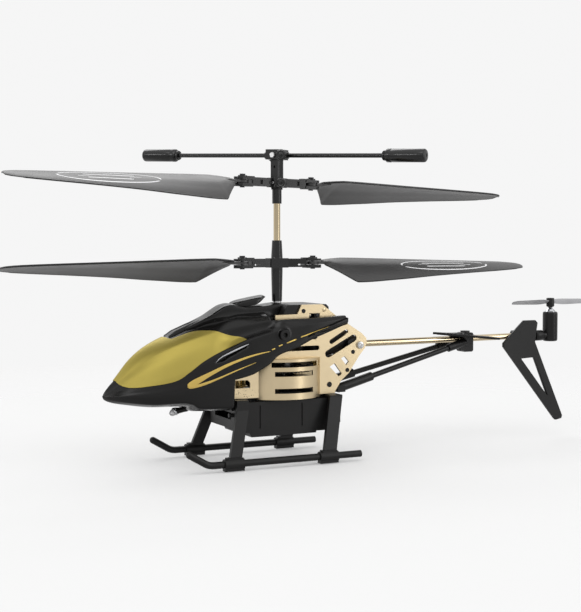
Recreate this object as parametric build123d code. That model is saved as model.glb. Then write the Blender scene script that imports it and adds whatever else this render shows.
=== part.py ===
from build123d import *
import math
import os

os.makedirs("parts", exist_ok=True)

# A palm-sized contra-rotating toy helicopter, about 228 mm from blade tip to tail propeller tip.
# Frame: +X towards the tail, +Y starboard, +Z up. Z = 0 is the plane that the skid collars stand
# on; X = 0, Y = 0 is the middle of the footprint of the whole machine, and the mast stands at
# MAST_X. Everything below is drawn with the mast at X = 0 and moved by MAST_X when it is written.

# ---- driving dimensions, mm and degrees -----------------------------------------------------------
MAST_X = -18.9            # mast axis, from the middle of the footprint
ROTOR_R = 95.0            # main rotor radius
UP_Z, LOW_Z = 93.3, 66.3  # blade planes
UP_NOSE, UP_TAIL = 184.25, 2.8      # directions of the two upper blades
LOW_NOSE, LOW_TAIL = 183.45, -3.7   # directions of the two lower blades
HINGE_R = 13.2            # blade lead-lag pin
TEETER_DIR = 35.4         # direction of the teeter axes of the blade hub and the flybar
HEAD_TILT = 2.0           # the head leans this much about the teeter axis at rest
FLYBAR_Z, FLYBAR_R = 102.5, 54.8
LINK_U, LINK_T = 3.6, 3.45          # link pivots: along the flybar, and along the teeter axis

INNER_D, TUBE_ID, TUBE_OD = 2.3, 2.42, 3.0
GEAR_M, GEAR_T, PINION_T = 0.4, 60, 12
GEAR_C = GEAR_M * (GEAR_T + PINION_T) / 2 + 0.06    # motor axis from the mast
LOW_GEAR_Z, UP_GEAR_Z, GEAR_H = 25.4, 29.9, 2.3

SHEET = 0.8               # side plate thickness
PLATE_Y = 9.8             # outer face of a side plate
BULGE_R = 15.0            # outer radius of the gear bulge
SKID_Y, SKID_Z, SKID_D = 17.0, 2.2, 2.3
BOOM_Z0, BOOM_Z1, BOOM_D = 37.7, 38.3, 2.3
TAIL_X, PROP_R, PROP_Z = 115.1, 18.0, 50.8
WALL = 1.1                # canopy wall

PARTS = {}


def put(name, shape):
    if isinstance(shape, (list, tuple)):
        shape = Compound([Pos(MAST_X, 0, 0) * s for s in shape])
    else:
        shape = Pos(MAST_X, 0, 0) * shape
    PARTS[name] = shape
    export_step(shape, f"parts/{name}.step")


def cyl(r, z0, z1, x=0.0, y=0.0):
    return Pos(x, y, (z0 + z1) / 2) * Cylinder(r, z1 - z0)


def cone(r0, r1, z0, z1, x=0.0, y=0.0):
    return Pos(x, y, (z0 + z1) / 2) * Cone(r0, r1, z1 - z0)


def box(x0, x1, y0, y1, z0, z1):
    x0, x1, y0, y1, z0, z1 = min(x0, x1), max(x0, x1), min(y0, y1), max(y0, y1), min(z0, z1), max(z0, z1)
    return Pos((x0 + x1) / 2, (y0 + y1) / 2, (z0 + z1) / 2) * Box(x1 - x0, y1 - y0, z1 - z0)


def ycyl(r, y0, y1, x, z):
    y0, y1 = min(y0, y1), max(y0, y1)
    return Pos(x, (y0 + y1) / 2, z) * Rot(90, 0, 0) * Cylinder(r, y1 - y0)


def xcyl(r, x0, x1, y, z):
    return Pos((x0 + x1) / 2, y, z) * Rot(0, 90, 0) * Cylinder(r, x1 - x0)


def prism_y(pts, y0, y1):
    """Outline in X and Z, from y0 to y1."""
    f = make_face(Polyline(*[(p[0], 0, p[1]) for p in pts], close=True))
    return Pos(0, y0, 0) * extrude(f, amount=y1 - y0, dir=(0, 1, 0))


def prism_z(pts, z0, z1):
    f = make_face(Polyline(*[(p[0], p[1], 0) for p in pts], close=True))
    return Pos(0, 0, z0) * extrude(f, amount=z1 - z0, dir=(0, 0, 1))


def rod(p, q, r):
    """Round rod from p to q."""
    p, q = Vector(*p), Vector(*q)
    return Plane(origin=p, z_dir=q - p) * Pos(0, 0, (q - p).length / 2) * Cylinder(r, (q - p).length)


def slot_y(p, q, width, y0, y1):
    """Round-ended slot between two points of X and Z."""
    a = math.atan2(q[1] - p[1], q[0] - p[0])
    n = (-math.sin(a) * width / 2, math.cos(a) * width / 2)
    s = prism_y([(p[0] + n[0], p[1] + n[1]), (q[0] + n[0], q[1] + n[1]),
                 (q[0] - n[0], q[1] - n[1]), (p[0] - n[0], p[1] - n[1])], y0, y1)
    return s + ycyl(width / 2, y0, y1, *p) + ycyl(width / 2, y0, y1, *q)


def interp(table, x):
    if x <= table[0][0]:
        return table[0][1]
    for (x0, a), (x1, b) in zip(table, table[1:]):
        if x <= x1:
            return a + (b - a) * (x - x0) / (x1 - x0)
    return table[-1][1]


def mirror_y(shape):
    return mirror(shape, about=Plane.XZ)


# ---- gears ----------------------------------------------------------------------------------------
def gear(teeth, module, z0, z1, bore, thin=0.06, add=0.8, ded=1.05, turn=0.0):
    """Spur gear with involute flanks; thin is taken off each tooth at the pitch circle."""
    rp = teeth * module / 2
    pa = math.radians(20)
    rb = rp * math.cos(pa)
    ra, rf = rp + add * module, rp - ded * module
    half = (math.pi * module / 2 - thin) / 2 / rp
    inv = lambda a: math.tan(a) - a
    base_half = half + inv(pa)
    pts = []
    r0 = max(rb, rf)
    radii = [r0 + (ra - r0) * k / 4 for k in range(5)]
    for i in range(teeth):
        c = turn + 2 * math.pi * i / teeth
        left, right = [], []
        for r in radii:
            a = math.acos(min(1.0, rb / r))
            h = base_half - inv(a)
            left.append((r, c - h))
            right.append((r, c + h))
        foot = [(rf, left[0][1])] if rf < rb - 1e-6 else []
        foot2 = [(rf, right[0][1])] if rf < rb - 1e-6 else []
        for r, t in foot + left + right[::-1] + foot2:
            pts.append((r * math.cos(t), r * math.sin(t)))
    g = prism_z(pts, z0, z1)
    return g - cyl(bore, z0 - 1, z1 + 1)


# The pinions sit at X = -GEAR_C (front motor, lower gear) and X = +GEAR_C (rear motor, upper gear).
# A tooth of the gear points along -X or +X, so the pinion shows a gap there.
low_gear = gear(GEAR_T, GEAR_M, LOW_GEAR_Z, LOW_GEAR_Z + GEAR_H, INNER_D / 2, turn=math.pi)
hub_low = cyl(2.6, LOW_GEAR_Z + GEAR_H, 28.9) - cyl(INNER_D / 2, 20, 40)
for k in range(6):
    a = math.radians(60 * k + 30)
    low_gear -= cyl(2.1, 20, 40, 7.4 * math.cos(a), 7.4 * math.sin(a))
put("lower_main_gear", low_gear + hub_low)
up_gear = gear(GEAR_T, GEAR_M, UP_GEAR_Z, UP_GEAR_Z + GEAR_H, TUBE_OD / 2, turn=0.0)
hub_up = cyl(2.8, UP_GEAR_Z + GEAR_H, 33.2) - cyl(TUBE_OD / 2, 20, 40)
for k in range(6):
    a = math.radians(60 * k)
    up_gear -= cyl(2.1, 20, 40, 7.4 * math.cos(a), 7.4 * math.sin(a))
put("upper_main_gear", up_gear + hub_up)
half_tooth = math.pi / PINION_T
# each pinion is pressed on its motor shaft, and the pair is one turning piece
put("front_pinion", Pos(-GEAR_C, 0, 0) * gear(PINION_T, GEAR_M, LOW_GEAR_Z - 0.6, LOW_GEAR_Z + 3.0, 0.3, turn=half_tooth)
    + cyl(0.5, LOW_GEAR_Z - 1.0, 43.5, -GEAR_C))
put("rear_pinion", Pos(GEAR_C, 0, 0) * gear(PINION_T, GEAR_M, UP_GEAR_Z - 0.6, UP_GEAR_Z + 2.9, 0.3, turn=math.pi + half_tooth)
    + cyl(0.5, UP_GEAR_Z - 1.0, 43.5, GEAR_C))

# ---- masts ----------------------------------------------------------------------------------------
put("inner_mast", cyl(INNER_D / 2, 22.9, 96.0))
put("outer_mast", cyl(TUBE_OD / 2, 29.2, 64.0) - cyl(TUBE_ID / 2, 20, 80))

# ---- frame decks and motors -----------------------------------------------------------------------
MOTOR_R, MOTOR_Z0, MOTOR_Z1 = 4.0, 35.0, 48.0
motor_can = {}
for nm, s in (("front", -1), ("rear", 1)):
    x = s * GEAR_C
    m = cyl(MOTOR_R, MOTOR_Z0, MOTOR_Z1, x) + cyl(1.4, MOTOR_Z1, MOTOR_Z1 + 0.7, x)
    for sy in (-1, 1):
        m -= box(x - 5, x + 5, sy * 3.1, sy * 5.0, MOTOR_Z0 + 1.5, MOTOR_Z1 - 1.5)
    m -= cyl(0.55, 30, 44, x)                       # bore that the shaft turns in
    put(f"{nm}_motor", m)

IN_Y = PLATE_Y - SHEET
BUSH_R = 2.1
deck = box(-18.6, 17.6, -IN_Y, IN_Y, 22.1, 23.5)
deck -= cyl(BUSH_R, 20, 24)
deck = deck - box(-18.9, -9.5, -1.6, 1.6, 20, 24)         # cable slot
put("lower_deck", deck)
mount = box(-18.9, 17.9, -IN_Y, IN_Y, 33.55, 35.0)
mount += cyl(3.6, 35.0, 49.2)
for s in (-1, 1):
    x = s * GEAR_C
    ring = cyl(5.0, 35.0, 39.0, x) - cyl(MOTOR_R, 34, 50, x)
    mount = mount + ring - cyl(1.3, 30, 35.5, x)
mount -= cyl(BUSH_R, 46.0, 50)
mount -= cyl(2.0, 37.2, 47)
mount -= cyl(BUSH_R, 33, 36.2)
mount -= cyl(2.0, 36, 37.5)
put("motor_mount", mount)
block = prism_y([(-1.9, 49.2), (-0.4, 52.4), (14.2, 52.4), (15.1, 51.5), (15.1, 49.2)], -IN_Y, IN_Y)
block -= box(-4, 2.6, -5.3, 5.3, 48, 54)
block -= cyl(1.7, 48, 50.2, GEAR_C)
for s in (-1, 1):
    block -= ycyl(0.55, s * 5.4, s * 10, 12.9, 50.6)
put("mast_block", block)
put("mast_bushes", [
    cyl(BUSH_R, 22.1, 23.5) - cyl(INNER_D / 2 + 0.05, 20, 30),
    cyl(BUSH_R, 33.55, 36.2) - cyl(TUBE_OD / 2 + 0.05, 20, 40),
    cyl(BUSH_R, 46.0, 49.2) - cyl(TUBE_OD / 2 + 0.05, 40, 60),
])

# ---- side plates ----------------------------------------------------------------------------------
OUTLINE = [(-20.6, 22.1), (-20.6, 28.8), (-18.8, 30.2), (-18.6, 42.0), (-8.6, 44.6), (-5.2, 45.6), (-5.2, 49.1),
           (2.9, 49.3), (4.5, 52.4), (12.3, 52.4), (17.3, 48.6), (21.9, 45.7), (27.4, 42.3), (29.3, 40.5),
           (29.4, 38.8), (28.6, 36.9), (26.5, 34.5), (22.5, 28.8), (19.5, 26.3), (17.2, 22.8), (17.2, 22.1)]


SCREWS = [(-16.9, 31.5), (12.9, 50.6), (26.7, 38.2), (15.0, 25.2)]   # frame screws of each side
PEG = (-3.8, 42.8)                                                # canopy peg


def side_plate():
    y0, y1 = -PLATE_Y, -PLATE_Y + SHEET
    p = prism_y(OUTLINE, y0, y1)
    # gear bulge: a cylinder wall round the mast, closed on top by a flat shelf
    z0, z1 = 21.4, 34.7
    cut = box(-20, 20, -16, -PLATE_Y + SHEET, 10, 60)
    outer = cyl(BULGE_R, z0, z1) & cut
    inner = cyl(BULGE_R - SHEET, z0 - 1, z1 - SHEET)
    p = (p - (cyl(BULGE_R - SHEET, 15, z1 - SHEET) & box(-30, 30, -20, -5, 10, 60))) + (outer - inner)
    # slots of the bulge
    for a, b in ((29.1, 30.7), (23.5, 25.1)):
        p -= box(-7.0, 7.0, -20, -11.6, a, b)
    p -= box(-8.0, 10.6, -20, -10.1, 32.1, 33.8)
    # slots and holes of the flat sheet
    Y0, Y1 = -PLATE_Y - 1, -PLATE_Y + SHEET + 1
    p -= slot_y((-1.6, 37.8), (10.4, 37.8), 1.6, Y0, Y1)
    p -= slot_y((3.2, 41.5), (9.6, 41.5), 1.6, Y0, Y1)
    p -= slot_y((15.8, 39.7), (21.4, 42.9), 1.6, Y0, Y1)
    p -= slot_y((14.6, 35.6), (24.2, 40.6), 2.5, Y0, Y1)
    p -= prism_y([(-19.7, 25.5), (-19.7, 28.1), (-15.2, 28.1), (-14.4, 27.2), (-14.4, 25.5)], Y0, Y1)
    p -= prism_y([(15.1, 31.2), (17.0, 32.3), (19.8, 28.6), (18.6, 27.7)], Y0, Y1)
    p -= prism_y([(19.5, 33.9), (20.8, 34.6), (22.5, 32.7), (21.4, 31.5)], Y0, Y1)
    p -= box(7.3, 11.3, Y0, Y1, 47.9, 49.5)
    for x, z in ((24.1, 35.9), (21.9, 29.8), (5.2, 50.3)):
        p -= ycyl(0.6, Y0, Y1, x, z)
    for x, z in SCREWS:
        p -= ycyl(0.75, Y0, Y1, x, z)
    p -= ycyl(0.75, Y0, Y1, *PEG)
    return p


left = side_plate()
put("left_side_plate", left)
put("right_side_plate", mirror_y(left))

# two round spacers hold the plates apart; the mast block and the boom holder do it above and behind
put("frame_spacers", [ycyl(1.5, -IN_Y, IN_Y, x, z) - ycyl(0.55, -IN_Y - 1, -IN_Y + 4, x, z) - ycyl(0.55, IN_Y - 4, IN_Y + 1, x, z)
                      for x, z in (SCREWS[0], SCREWS[3])])


def screw_y(x, z, side, depth, head_r=1.25, head_h=0.7, r=0.55, face=PLATE_Y, slot=0.25):
    """Small cross-head screw entering a plate along Y; side is -1 for port."""
    y = side * face
    s = ycyl(head_r, min(y, y + side * head_h), max(y, y + side * head_h), x, z)
    s += ycyl(r, min(y - side * depth, y), max(y - side * depth, y), x, z)
    top = y + side * head_h
    s -= box(x - head_r * 0.7, x + head_r * 0.7, top - side * slot, top + side, z - 0.16, z + 0.16)
    s -= box(x - 0.16, x + 0.16, top - side * slot, top + side, z - head_r * 0.7, z + head_r * 0.7)
    return s


screws = [screw_y(x, z, sd, 3.6) for sd in (-1, 1) for x, z in SCREWS]

# ---- boom and its supports ------------------------------------------------------------------------
def boom_z(x):
    return BOOM_Z0 + (BOOM_Z1 - BOOM_Z0) * (x - 20) / 80


holder = prism_y([(22.6, 36.0), (22.6, 39.6), (23.6, 40.2), (28.2, 40.2), (28.6, 39.6), (28.6, 37.0), (27.6, 36.0)], -IN_Y, IN_Y)
boom_line = ((19.8, 0, boom_z(19.8)), (106.0, 0, boom_z(106.0)))
holder -= rod(boom_line[0], boom_line[1], BOOM_D / 2)
for s in (-1, 1):
    holder -= ycyl(0.55, s * 5.4, s * 10, 26.7, 38.2)
put("boom_holder", holder)
put("tail_boom", rod(*boom_line, BOOM_D / 2) - rod((19, 0, boom_z(19)), (107, 0, boom_z(107)), 0.8))
put("tail_motor_leads", [rod((20.4, y, boom_z(20.4)), (108.6, y, boom_z(108.6)), 0.3) for y in (-0.36, 0.36)])

STRUTS = {}
for nm, s in (("left", -1), ("right", 1)):
    a, b = (20.0, s * 7.6, 23.6), (72.2, s * 3.1, 36.6)
    STRUTS[nm] = (a, b)


def along(a, b, x):
    t = (x - a[0]) / (b[0] - a[0])
    return tuple(a[i] + (b[i] - a[i]) * t for i in range(3))


bracket = box(18.4, 21.4, -IN_Y - 0.4, IN_Y + 0.4, 22.3, 24.4)
bracket += box(14.0, 18.4, -6.4, 6.4, 23.5, 24.4)
for s in STRUTS.values():
    bracket += rod(along(*s, 19.4), along(*s, 33.2), 1.55)
    bracket -= rod(along(*s, 24.0), along(*s, 36), 0.95)
bracket -= ycyl(1.6, -20, 20, 15.0, 25.2)
put("strut_bracket", bracket)
clamp = prism_y([(74.2, 33.9), (74.2, 39.9), (74.7, 40.4), (78.0, 40.4), (78.5, 39.9), (78.5, 33.9), (78.0, 33.4), (74.7, 33.4)], -2.3, 2.3)
clamp += cyl(1.7, 40.3, 41.0, 76.4)
for s in STRUTS.values():
    clamp += rod(along(*s, 66.6), along(*s, 74.3), 1.45)
    clamp -= rod(along(*s, 64), along(*s, 72.0), 0.95)
clamp -= rod(*boom_line, BOOM_D / 2)
clamp = clamp - box(74, 81, -0.2, 0.2, 32, 37)
put("boom_clamp", clamp)
for nm, s in STRUTS.items():
    put(f"{nm}_tail_strut", rod(along(*s, 24.0), along(*s, 72.0), 0.95))
# stabiliser: two small wings that slope down to the tail, on a saddle over the boom
stab = box(70.0, 74.0, -1.9, 1.9, 39.2, 40.3)
for s in (-1, 1):
    wing = prism_z([(0.0, s * 1.3), (1.2, s * 2.4), (16.6, s * 12.0), (18.0, s * 12.4), (20.2, s * 12.0), (20.6, s * 11.2), (22.8, s * 3.0), (22.4, s * 1.35),
                    (15.7, s * 1.35), (15.6, s * 2.45), (10.8, s * 2.45), (10.7, s * 1.3)], 0, 0.8)
    stab += Pos(63.3, 0, 40.0) * Rot(0, 5.2, 0) * wing
stab -= rod(*boom_line, BOOM_D / 2)
put("horizontal_stabilizer", stab)

# ---- tail fin, motor and propeller ----------------------------------------------------------------
FIN = [(101.0, 44.2), (106.4, 44.2), (107.4, 43.2), (106.9, 40.2), (106.3, 36.0), (119.3, 7.6), (119.0, 6.4), (116.3, 5.9), (115.4, 6.6),
       (91.8, 34.6), (91.8, 36.0)]
WINDOW = [(100.0, 29.9), (105.7, 30.2), (112.1, 15.6)]
fin = prism_y(FIN, -2.6, -1.5) - prism_y(WINDOW, -4, 0)
put("tail_fin", fin)
holder = box(97.4, 106.6, -1.5, 1.9, 34.4, 40.4)
holder = chamfer(holder.edges().filter_by(Axis.X), 0.5)
arm = xcyl(1.4, 106.0, 107.8, 0.0, 38.2) + xcyl(2.0, 107.7, TAIL_X - 1.0, 0.0, 38.2)
can = cyl(2.8, 35.8, 46.5, TAIL_X)
holder = holder + arm + can
holder -= cyl(2.3, 37.0, 48, TAIL_X)
holder -= rod((90, 0, boom_z(90)), (106.0, 0, boom_z(106.0)), BOOM_D / 2)
holder -= rod((105.0, 0, boom_z(105)), (113, 0, boom_z(113)), 0.8)
put("tail_motor_holder", holder)
tmot = cyl(2.3, 37.0, 46.9, TAIL_X) + cone(2.0, 1.0, 46.9, 48.3, TAIL_X)
tmot -= cyl(0.45, 38, 50, TAIL_X)
put("tail_motor", tmot)
hub = cyl(1.5, PROP_Z - 1.7, PROP_Z + 1.5, TAIL_X) + cyl(0.4, 38.6, PROP_Z, TAIL_X)


def tail_blade(sign):
    secs = []
    for r, c, pitch, off in ((1.0, 1.6, 30, 0.0), (4.0, 3.4, 22, 0.2), (9.0, 4.4, 17, 0.4), (14.0, 4.2, 13, 0.4), (17.4, 3.0, 11, 0.2), (18.0, 1.8, 10, 0.0)):
        pts = [(-c / 2, -0.05), (0, 0.3), (c / 2, 0.1), (c / 2, -0.1), (0, -0.2), (-c / 2, -0.3)]
        a = math.radians(pitch)
        secs.append(make_face(Polyline(*[(r, off + p[0] * math.cos(a) - p[1] * math.sin(a), p[0] * math.sin(a) + p[1] * math.cos(a)) for p in pts], close=True)))
    b = loft(secs, ruled=True)
    return Pos(TAIL_X, 0, PROP_Z) * Rot(0, 0, 0 if sign > 0 else 180) * b


prop = hub + tail_blade(1) + tail_blade(-1)
put("tail_propeller", Pos(TAIL_X, 0, 0) * Rot(0, 0, 4) * Pos(-TAIL_X, 0, 0) * prop)

# ---- rotor head -----------------------------------------------------------------------------------
T = (math.cos(math.radians(TEETER_DIR)), math.sin(math.radians(TEETER_DIR)), 0)
U = (T[1], -T[0], 0)                       # the flybar's near end lies along +U


def head_frame(z):
    """Local x along U, local y along T, local z up... right handed with z up needs y = -T x U."""
    return Plane(origin=(0, 0, z), x_dir=U, z_dir=(0, 0, 1))     # local y = z x U = +T


def hf(z, shape):
    return head_frame(z) * shape


def tilt(z, shape):
    return shape.rotate(Axis((0, 0, z), T), HEAD_TILT)


# column fixed on the inner mast: a sleeve, a block that the blade hub rocks on, and the neck above
column = cyl(1.6, 86.3, 91.0) + cyl(1.35, 91.0, 99.0)
column += hf(0, box(-1.25, 1.25, -1.7, 1.7, 91.0, 95.6))
column += hf(0, box(-1.15, 1.15, -1.5, 1.5, 95.6, 104.2))
column -= cyl(INNER_D / 2, 80, 96.0)
column -= hf(0, ycyl(0.45, -2.5, -1.0, 0, 98.6))
pin_up = hf(0, ycyl(0.5, -4, 4, 0, UP_Z))
pin_fly = hf(0, ycyl(0.5, -4, 4, 0, FLYBAR_Z))
column = column - pin_up - pin_fly
put("rotor_head", column)
TP = 2.75          # half width of the rocking pieces along the teeter axis
put("teeter_pins", [
    hf(0, ycyl(0.5, -TP - 0.1, TP + 0.1, 0, UP_Z)) - cyl(INNER_D / 2, 80, 96.0),
    hf(0, ycyl(0.5, -TP - 0.1, TP + 0.1, 0, FLYBAR_Z) + ycyl(0.85, -TP - 0.75, -TP - 0.1, 0, FLYBAR_Z)
       + ycyl(0.85, TP + 0.1, TP + 0.75, 0, FLYBAR_Z)),
])

GRIP_R = 16.2          # outer end of a grip
TAB_R, TAB_H, GAP = 2.1, 1.1, 1.26


def grip(direction, inner, side):
    """One arm with its forked end, along local +x; side is which way the lock tab leans."""
    g = box(inner, 10.2, -1.9, 1.9, -1.45, 1.45)
    g -= box(6.5, 7.7, -3, 3, -0.75, 0.75) if side else box(7.0, 9.4, -3, 3, -0.85, -0.35)   # slot through the arm
    g += box(10.2, GRIP_R - 2.0, -2.2, 2.2, -1.75, 1.45) + cyl(2.2, -1.75, 1.45, GRIP_R - 2.2)
    g += cyl(1.55, 1.45, 1.95, HINGE_R) + box(9.2, HINGE_R, -1.2, 1.2, 1.45, 1.8)
    g -= box(10.2, GRIP_R + 2, -4, 4, -GAP / 2, GAP / 2)
    g -= cyl(0.5, -4, 4, HINGE_R)
    return Rot(0, 0, direction) * g


def grip_screw(direction):
    sc = cyl(0.5, -1.75, 1.95, HINGE_R) + cyl(0.95, 1.95, 2.45, HINGE_R) + cyl(0.8, -2.1, -1.75, HINGE_R)
    sc -= box(HINGE_R - 0.7, HINGE_R + 0.7, -0.14, 0.14, 2.25, 3) + box(HINGE_R - 0.14, HINGE_R + 0.14, -0.7, 0.7, 2.25, 3)
    return Rot(0, 0, direction) * sc


# upper blade hub: a ring round the head block, two arms, two studs for the links
ring = hf(0, box(-2.35, 2.35, -TP, TP, -1.6, 1.6))
ring -= hf(0, box(-1.74, 1.74, -1.83, 1.83, -3, 3))
ring -= hf(0, ycyl(0.55, -5, 5, 0, 0))
hub_u = grip(UP_NOSE, 2.9, -1) + grip(UP_TAIL, 2.9, 1)
web = Rot(0, 0, UP_NOSE) * box(2.0, 3.4, -2.0, 2.0, -1.45, 1.45) + Rot(0, 0, UP_TAIL) * box(2.0, 3.4, -2.0, 2.0, -1.45, 1.45)
clear_hole = hf(0, box(-1.74, 1.74, -1.83, 1.83, -3, 3)) + hf(0, ycyl(0.55, -5, 5, 0, 0))
studs = None
for sg in (1, -1):
    ear = hf(0, box(sg * 1.9, sg * (LINK_U + 0.9), -sg * 1.3, -sg * TP, -0.9, 0.9))
    stud = hf(0, ycyl(0.42, -sg * TP, -sg * 4.25, sg * LINK_U, 0))
    studs = ear + stud if studs is None else studs + ear + stud
hub_u = (ring + hub_u + web + studs) - clear_hole
put("upper_blade_hub", tilt(UP_Z, Pos(0, 0, UP_Z) * hub_u))
put("upper_blade_screws", [tilt(UP_Z, Pos(0, 0, UP_Z) * grip_screw(a)) for a in (UP_NOSE, UP_TAIL)])

# flybar: seesaw and both rods in one moulding, with a weight on each end
saw = hf(0, box(-2.9, 2.9, -TP, TP, -1.5, 1.9)) - hf(0, box(-1.75, 1.75, -1.62, 1.62, -3, 3))
for sg in (1, -1):
    saw += hf(0, box(sg * 2.6, sg * (LINK_U + 1.0), -sg * 1.2, -sg * TP, -1.0, 1.0))
    saw += hf(0, ycyl(0.42, -sg * TP, -sg * 4.25, sg * LINK_U, 0))
    saw += hf(0, xcyl(1.15, sg * 2.9, sg * 4.4, 0, 0) if sg > 0 else xcyl(1.15, -4.4, -2.9, 0, 0))
saw -= hf(0, ycyl(0.55, -5, 5, 0, 0))
weights = []
for sg in (1, -1):
    saw += hf(0, xcyl(0.75, min(sg * 2.2, sg * (FLYBAR_R - 1.2)), max(sg * 2.2, sg * (FLYBAR_R - 1.2)), 0, 0))
    w0, w1 = FLYBAR_R - 15.4, FLYBAR_R - 0.6
    wt = xcyl(2.15, w0 + 1.4, w1, 0, 0)
    wt = chamfer(wt.edges().filter_by(GeomType.CIRCLE), 0.35)
    wt += xcyl(1.6, w0, w0 + 1.5, 0, 0)
    wt -= xcyl(0.75, w0 - 1, FLYBAR_R - 1.2, 0, 0)
    weights.append(hf(0, wt if sg > 0 else Rot(0, 0, 180) * wt))
put("flybar", tilt(FLYBAR_Z, Pos(0, 0, FLYBAR_Z) * saw))
put("flybar_weights", [tilt(FLYBAR_Z, Pos(0, 0, FLYBAR_Z) * b) for b in weights])

# links: flat bars with an eye at each end, upright at every angle of the head
ct, st = math.cos(math.radians(HEAD_TILT)), math.sin(math.radians(HEAD_TILT))
for nm, sg in (("near", 1), ("far", -1)):
    u, dz = sg * LINK_U * ct, -sg * LINK_U * st
    z0, z1 = UP_Z + dz, FLYBAR_Z + dz
    t0, t1 = -sg * (TP + 0.2), -sg * (TP + 1.2)
    link = ycyl(1.45, t0, t1, u, z0) + ycyl(1.45, t0, t1, u, z1) + box(u - 0.65, u + 0.65, t0, t1, z0, z1)
    link -= ycyl(0.5, -9, 9, u, z0) + ycyl(0.47, -9, 9, u, z1)
    put(f"{nm}_link", hf(0, link))

# lower rotor hub: long tapered sleeve round the outer mast and two grips
sleeve = cone(1.72, 1.95, 53.4, 63.4) + cyl(1.95, 63.4, 68.4) + cone(1.95, 1.65, 68.4, 73.9)
hub_l = sleeve + Pos(0, 0, LOW_Z) * (box(-3.2, 3.2, -2.4, 2.4, -1.6, 1.6) + grip(LOW_NOSE, 2.4, 0) + grip(LOW_TAIL, 2.4, 0))
hub_l -= cyl(TUBE_OD / 2, 50, 64.0) + cyl(TUBE_ID / 2, 63, 80)
put("lower_rotor_hub", hub_l)
put("lower_blade_screws", [Pos(0, 0, LOW_Z) * grip_screw(a) for a in (LOW_NOSE, LOW_TAIL)])

# blades: span along local x from the mast axis; y towards the leading edge
# (radius, leading edge y, trailing edge y, pitch, thickness)
BLADE = [(17.0, 1.9, -2.7, 18.0, 0.95), (18.6, 2.2, -4.9, 22.0, 0.9), (20.6, 2.5, -7.6, 25.0, 0.9), (22.8, 2.8, -10.8, 27.0, 0.85), (24.9, 3.1, -13.6, 27.5, 0.8),
         (40.0, 3.2, -13.3, 23.5, 0.75), (55.0, 3.2, -12.2, 19.0, 0.7), (70.0, 3.1, -10.6, 15.8, 0.65), (82.0, 2.9, -9.2, 13.3, 0.6),
         (90.0, 2.4, -7.6, 11.6, 0.55), (93.6, 1.2, -6.0, 11.0, 0.5), (95.0, -0.6, -4.2, 11.0, 0.45)]


def blade(hand):
    """hand +1: leading edge towards local +y; -1: towards -y."""
    secs = []
    for r, le, te, pitch, th in BLADE:
        c = le - te
        cam = 0.05 * c
        a = math.radians(pitch)
        top, bot = [], []
        for f in (0.0, 0.18, 0.45, 0.75, 1.0):
            y = le - f * c
            h = cam * 4 * f * (1 - f) * (0.8 if f > 0.5 else 1.0)
            t = th * (0.35 if f in (0.0, 1.0) else 1.0) / 2
            top.append((y, h + t))
            bot.append((y, h - t))
        pts = top + bot[::-1]
        ring3 = [(r, hand * (p[0] * math.cos(a) - p[1] * math.sin(a)), p[0] * math.sin(a) + p[1] * math.cos(a) - 0.012 * (r - 18)) for p in pts]
        secs.append(make_face(Polyline(*ring3, close=True)))
    b = loft(secs, ruled=True)
    neck = cyl(TAB_R, -TAB_H / 2, TAB_H / 2, HINGE_R) + box(HINGE_R, 17.6, -1.7, 1.7, -TAB_H / 2, TAB_H / 2)
    neck += box(16.6, 18.8, -1.9, 1.9, -0.5, 0.5)
    b = b + neck
    b -= cyl(0.56, -4, 4, HINGE_R)
    return b


put("upper_nose_blade", tilt(UP_Z, Pos(0, 0, UP_Z) * Rot(0, 0, UP_NOSE) * blade(-1)))
put("upper_tail_blade", tilt(UP_Z, Pos(0, 0, UP_Z) * Rot(0, 0, UP_TAIL) * blade(-1)))
put("lower_nose_blade", Pos(0, 0, LOW_Z) * Rot(0, 0, LOW_NOSE) * blade(1))
put("lower_tail_blade", Pos(0, 0, LOW_Z) * Rot(0, 0, LOW_TAIL) * blade(1))

# ---- landing gear ---------------------------------------------------------------------------------
FRONT_LEG = ((-18.4, 18.6), (-23.0, 3.4))      # middle line of a front leg, X and Z
REAR_LEG = ((15.9, 21.4), (11.2, 3.4))
COLLAR_X = {"front": -23.4, "rear": 10.8}


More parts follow.
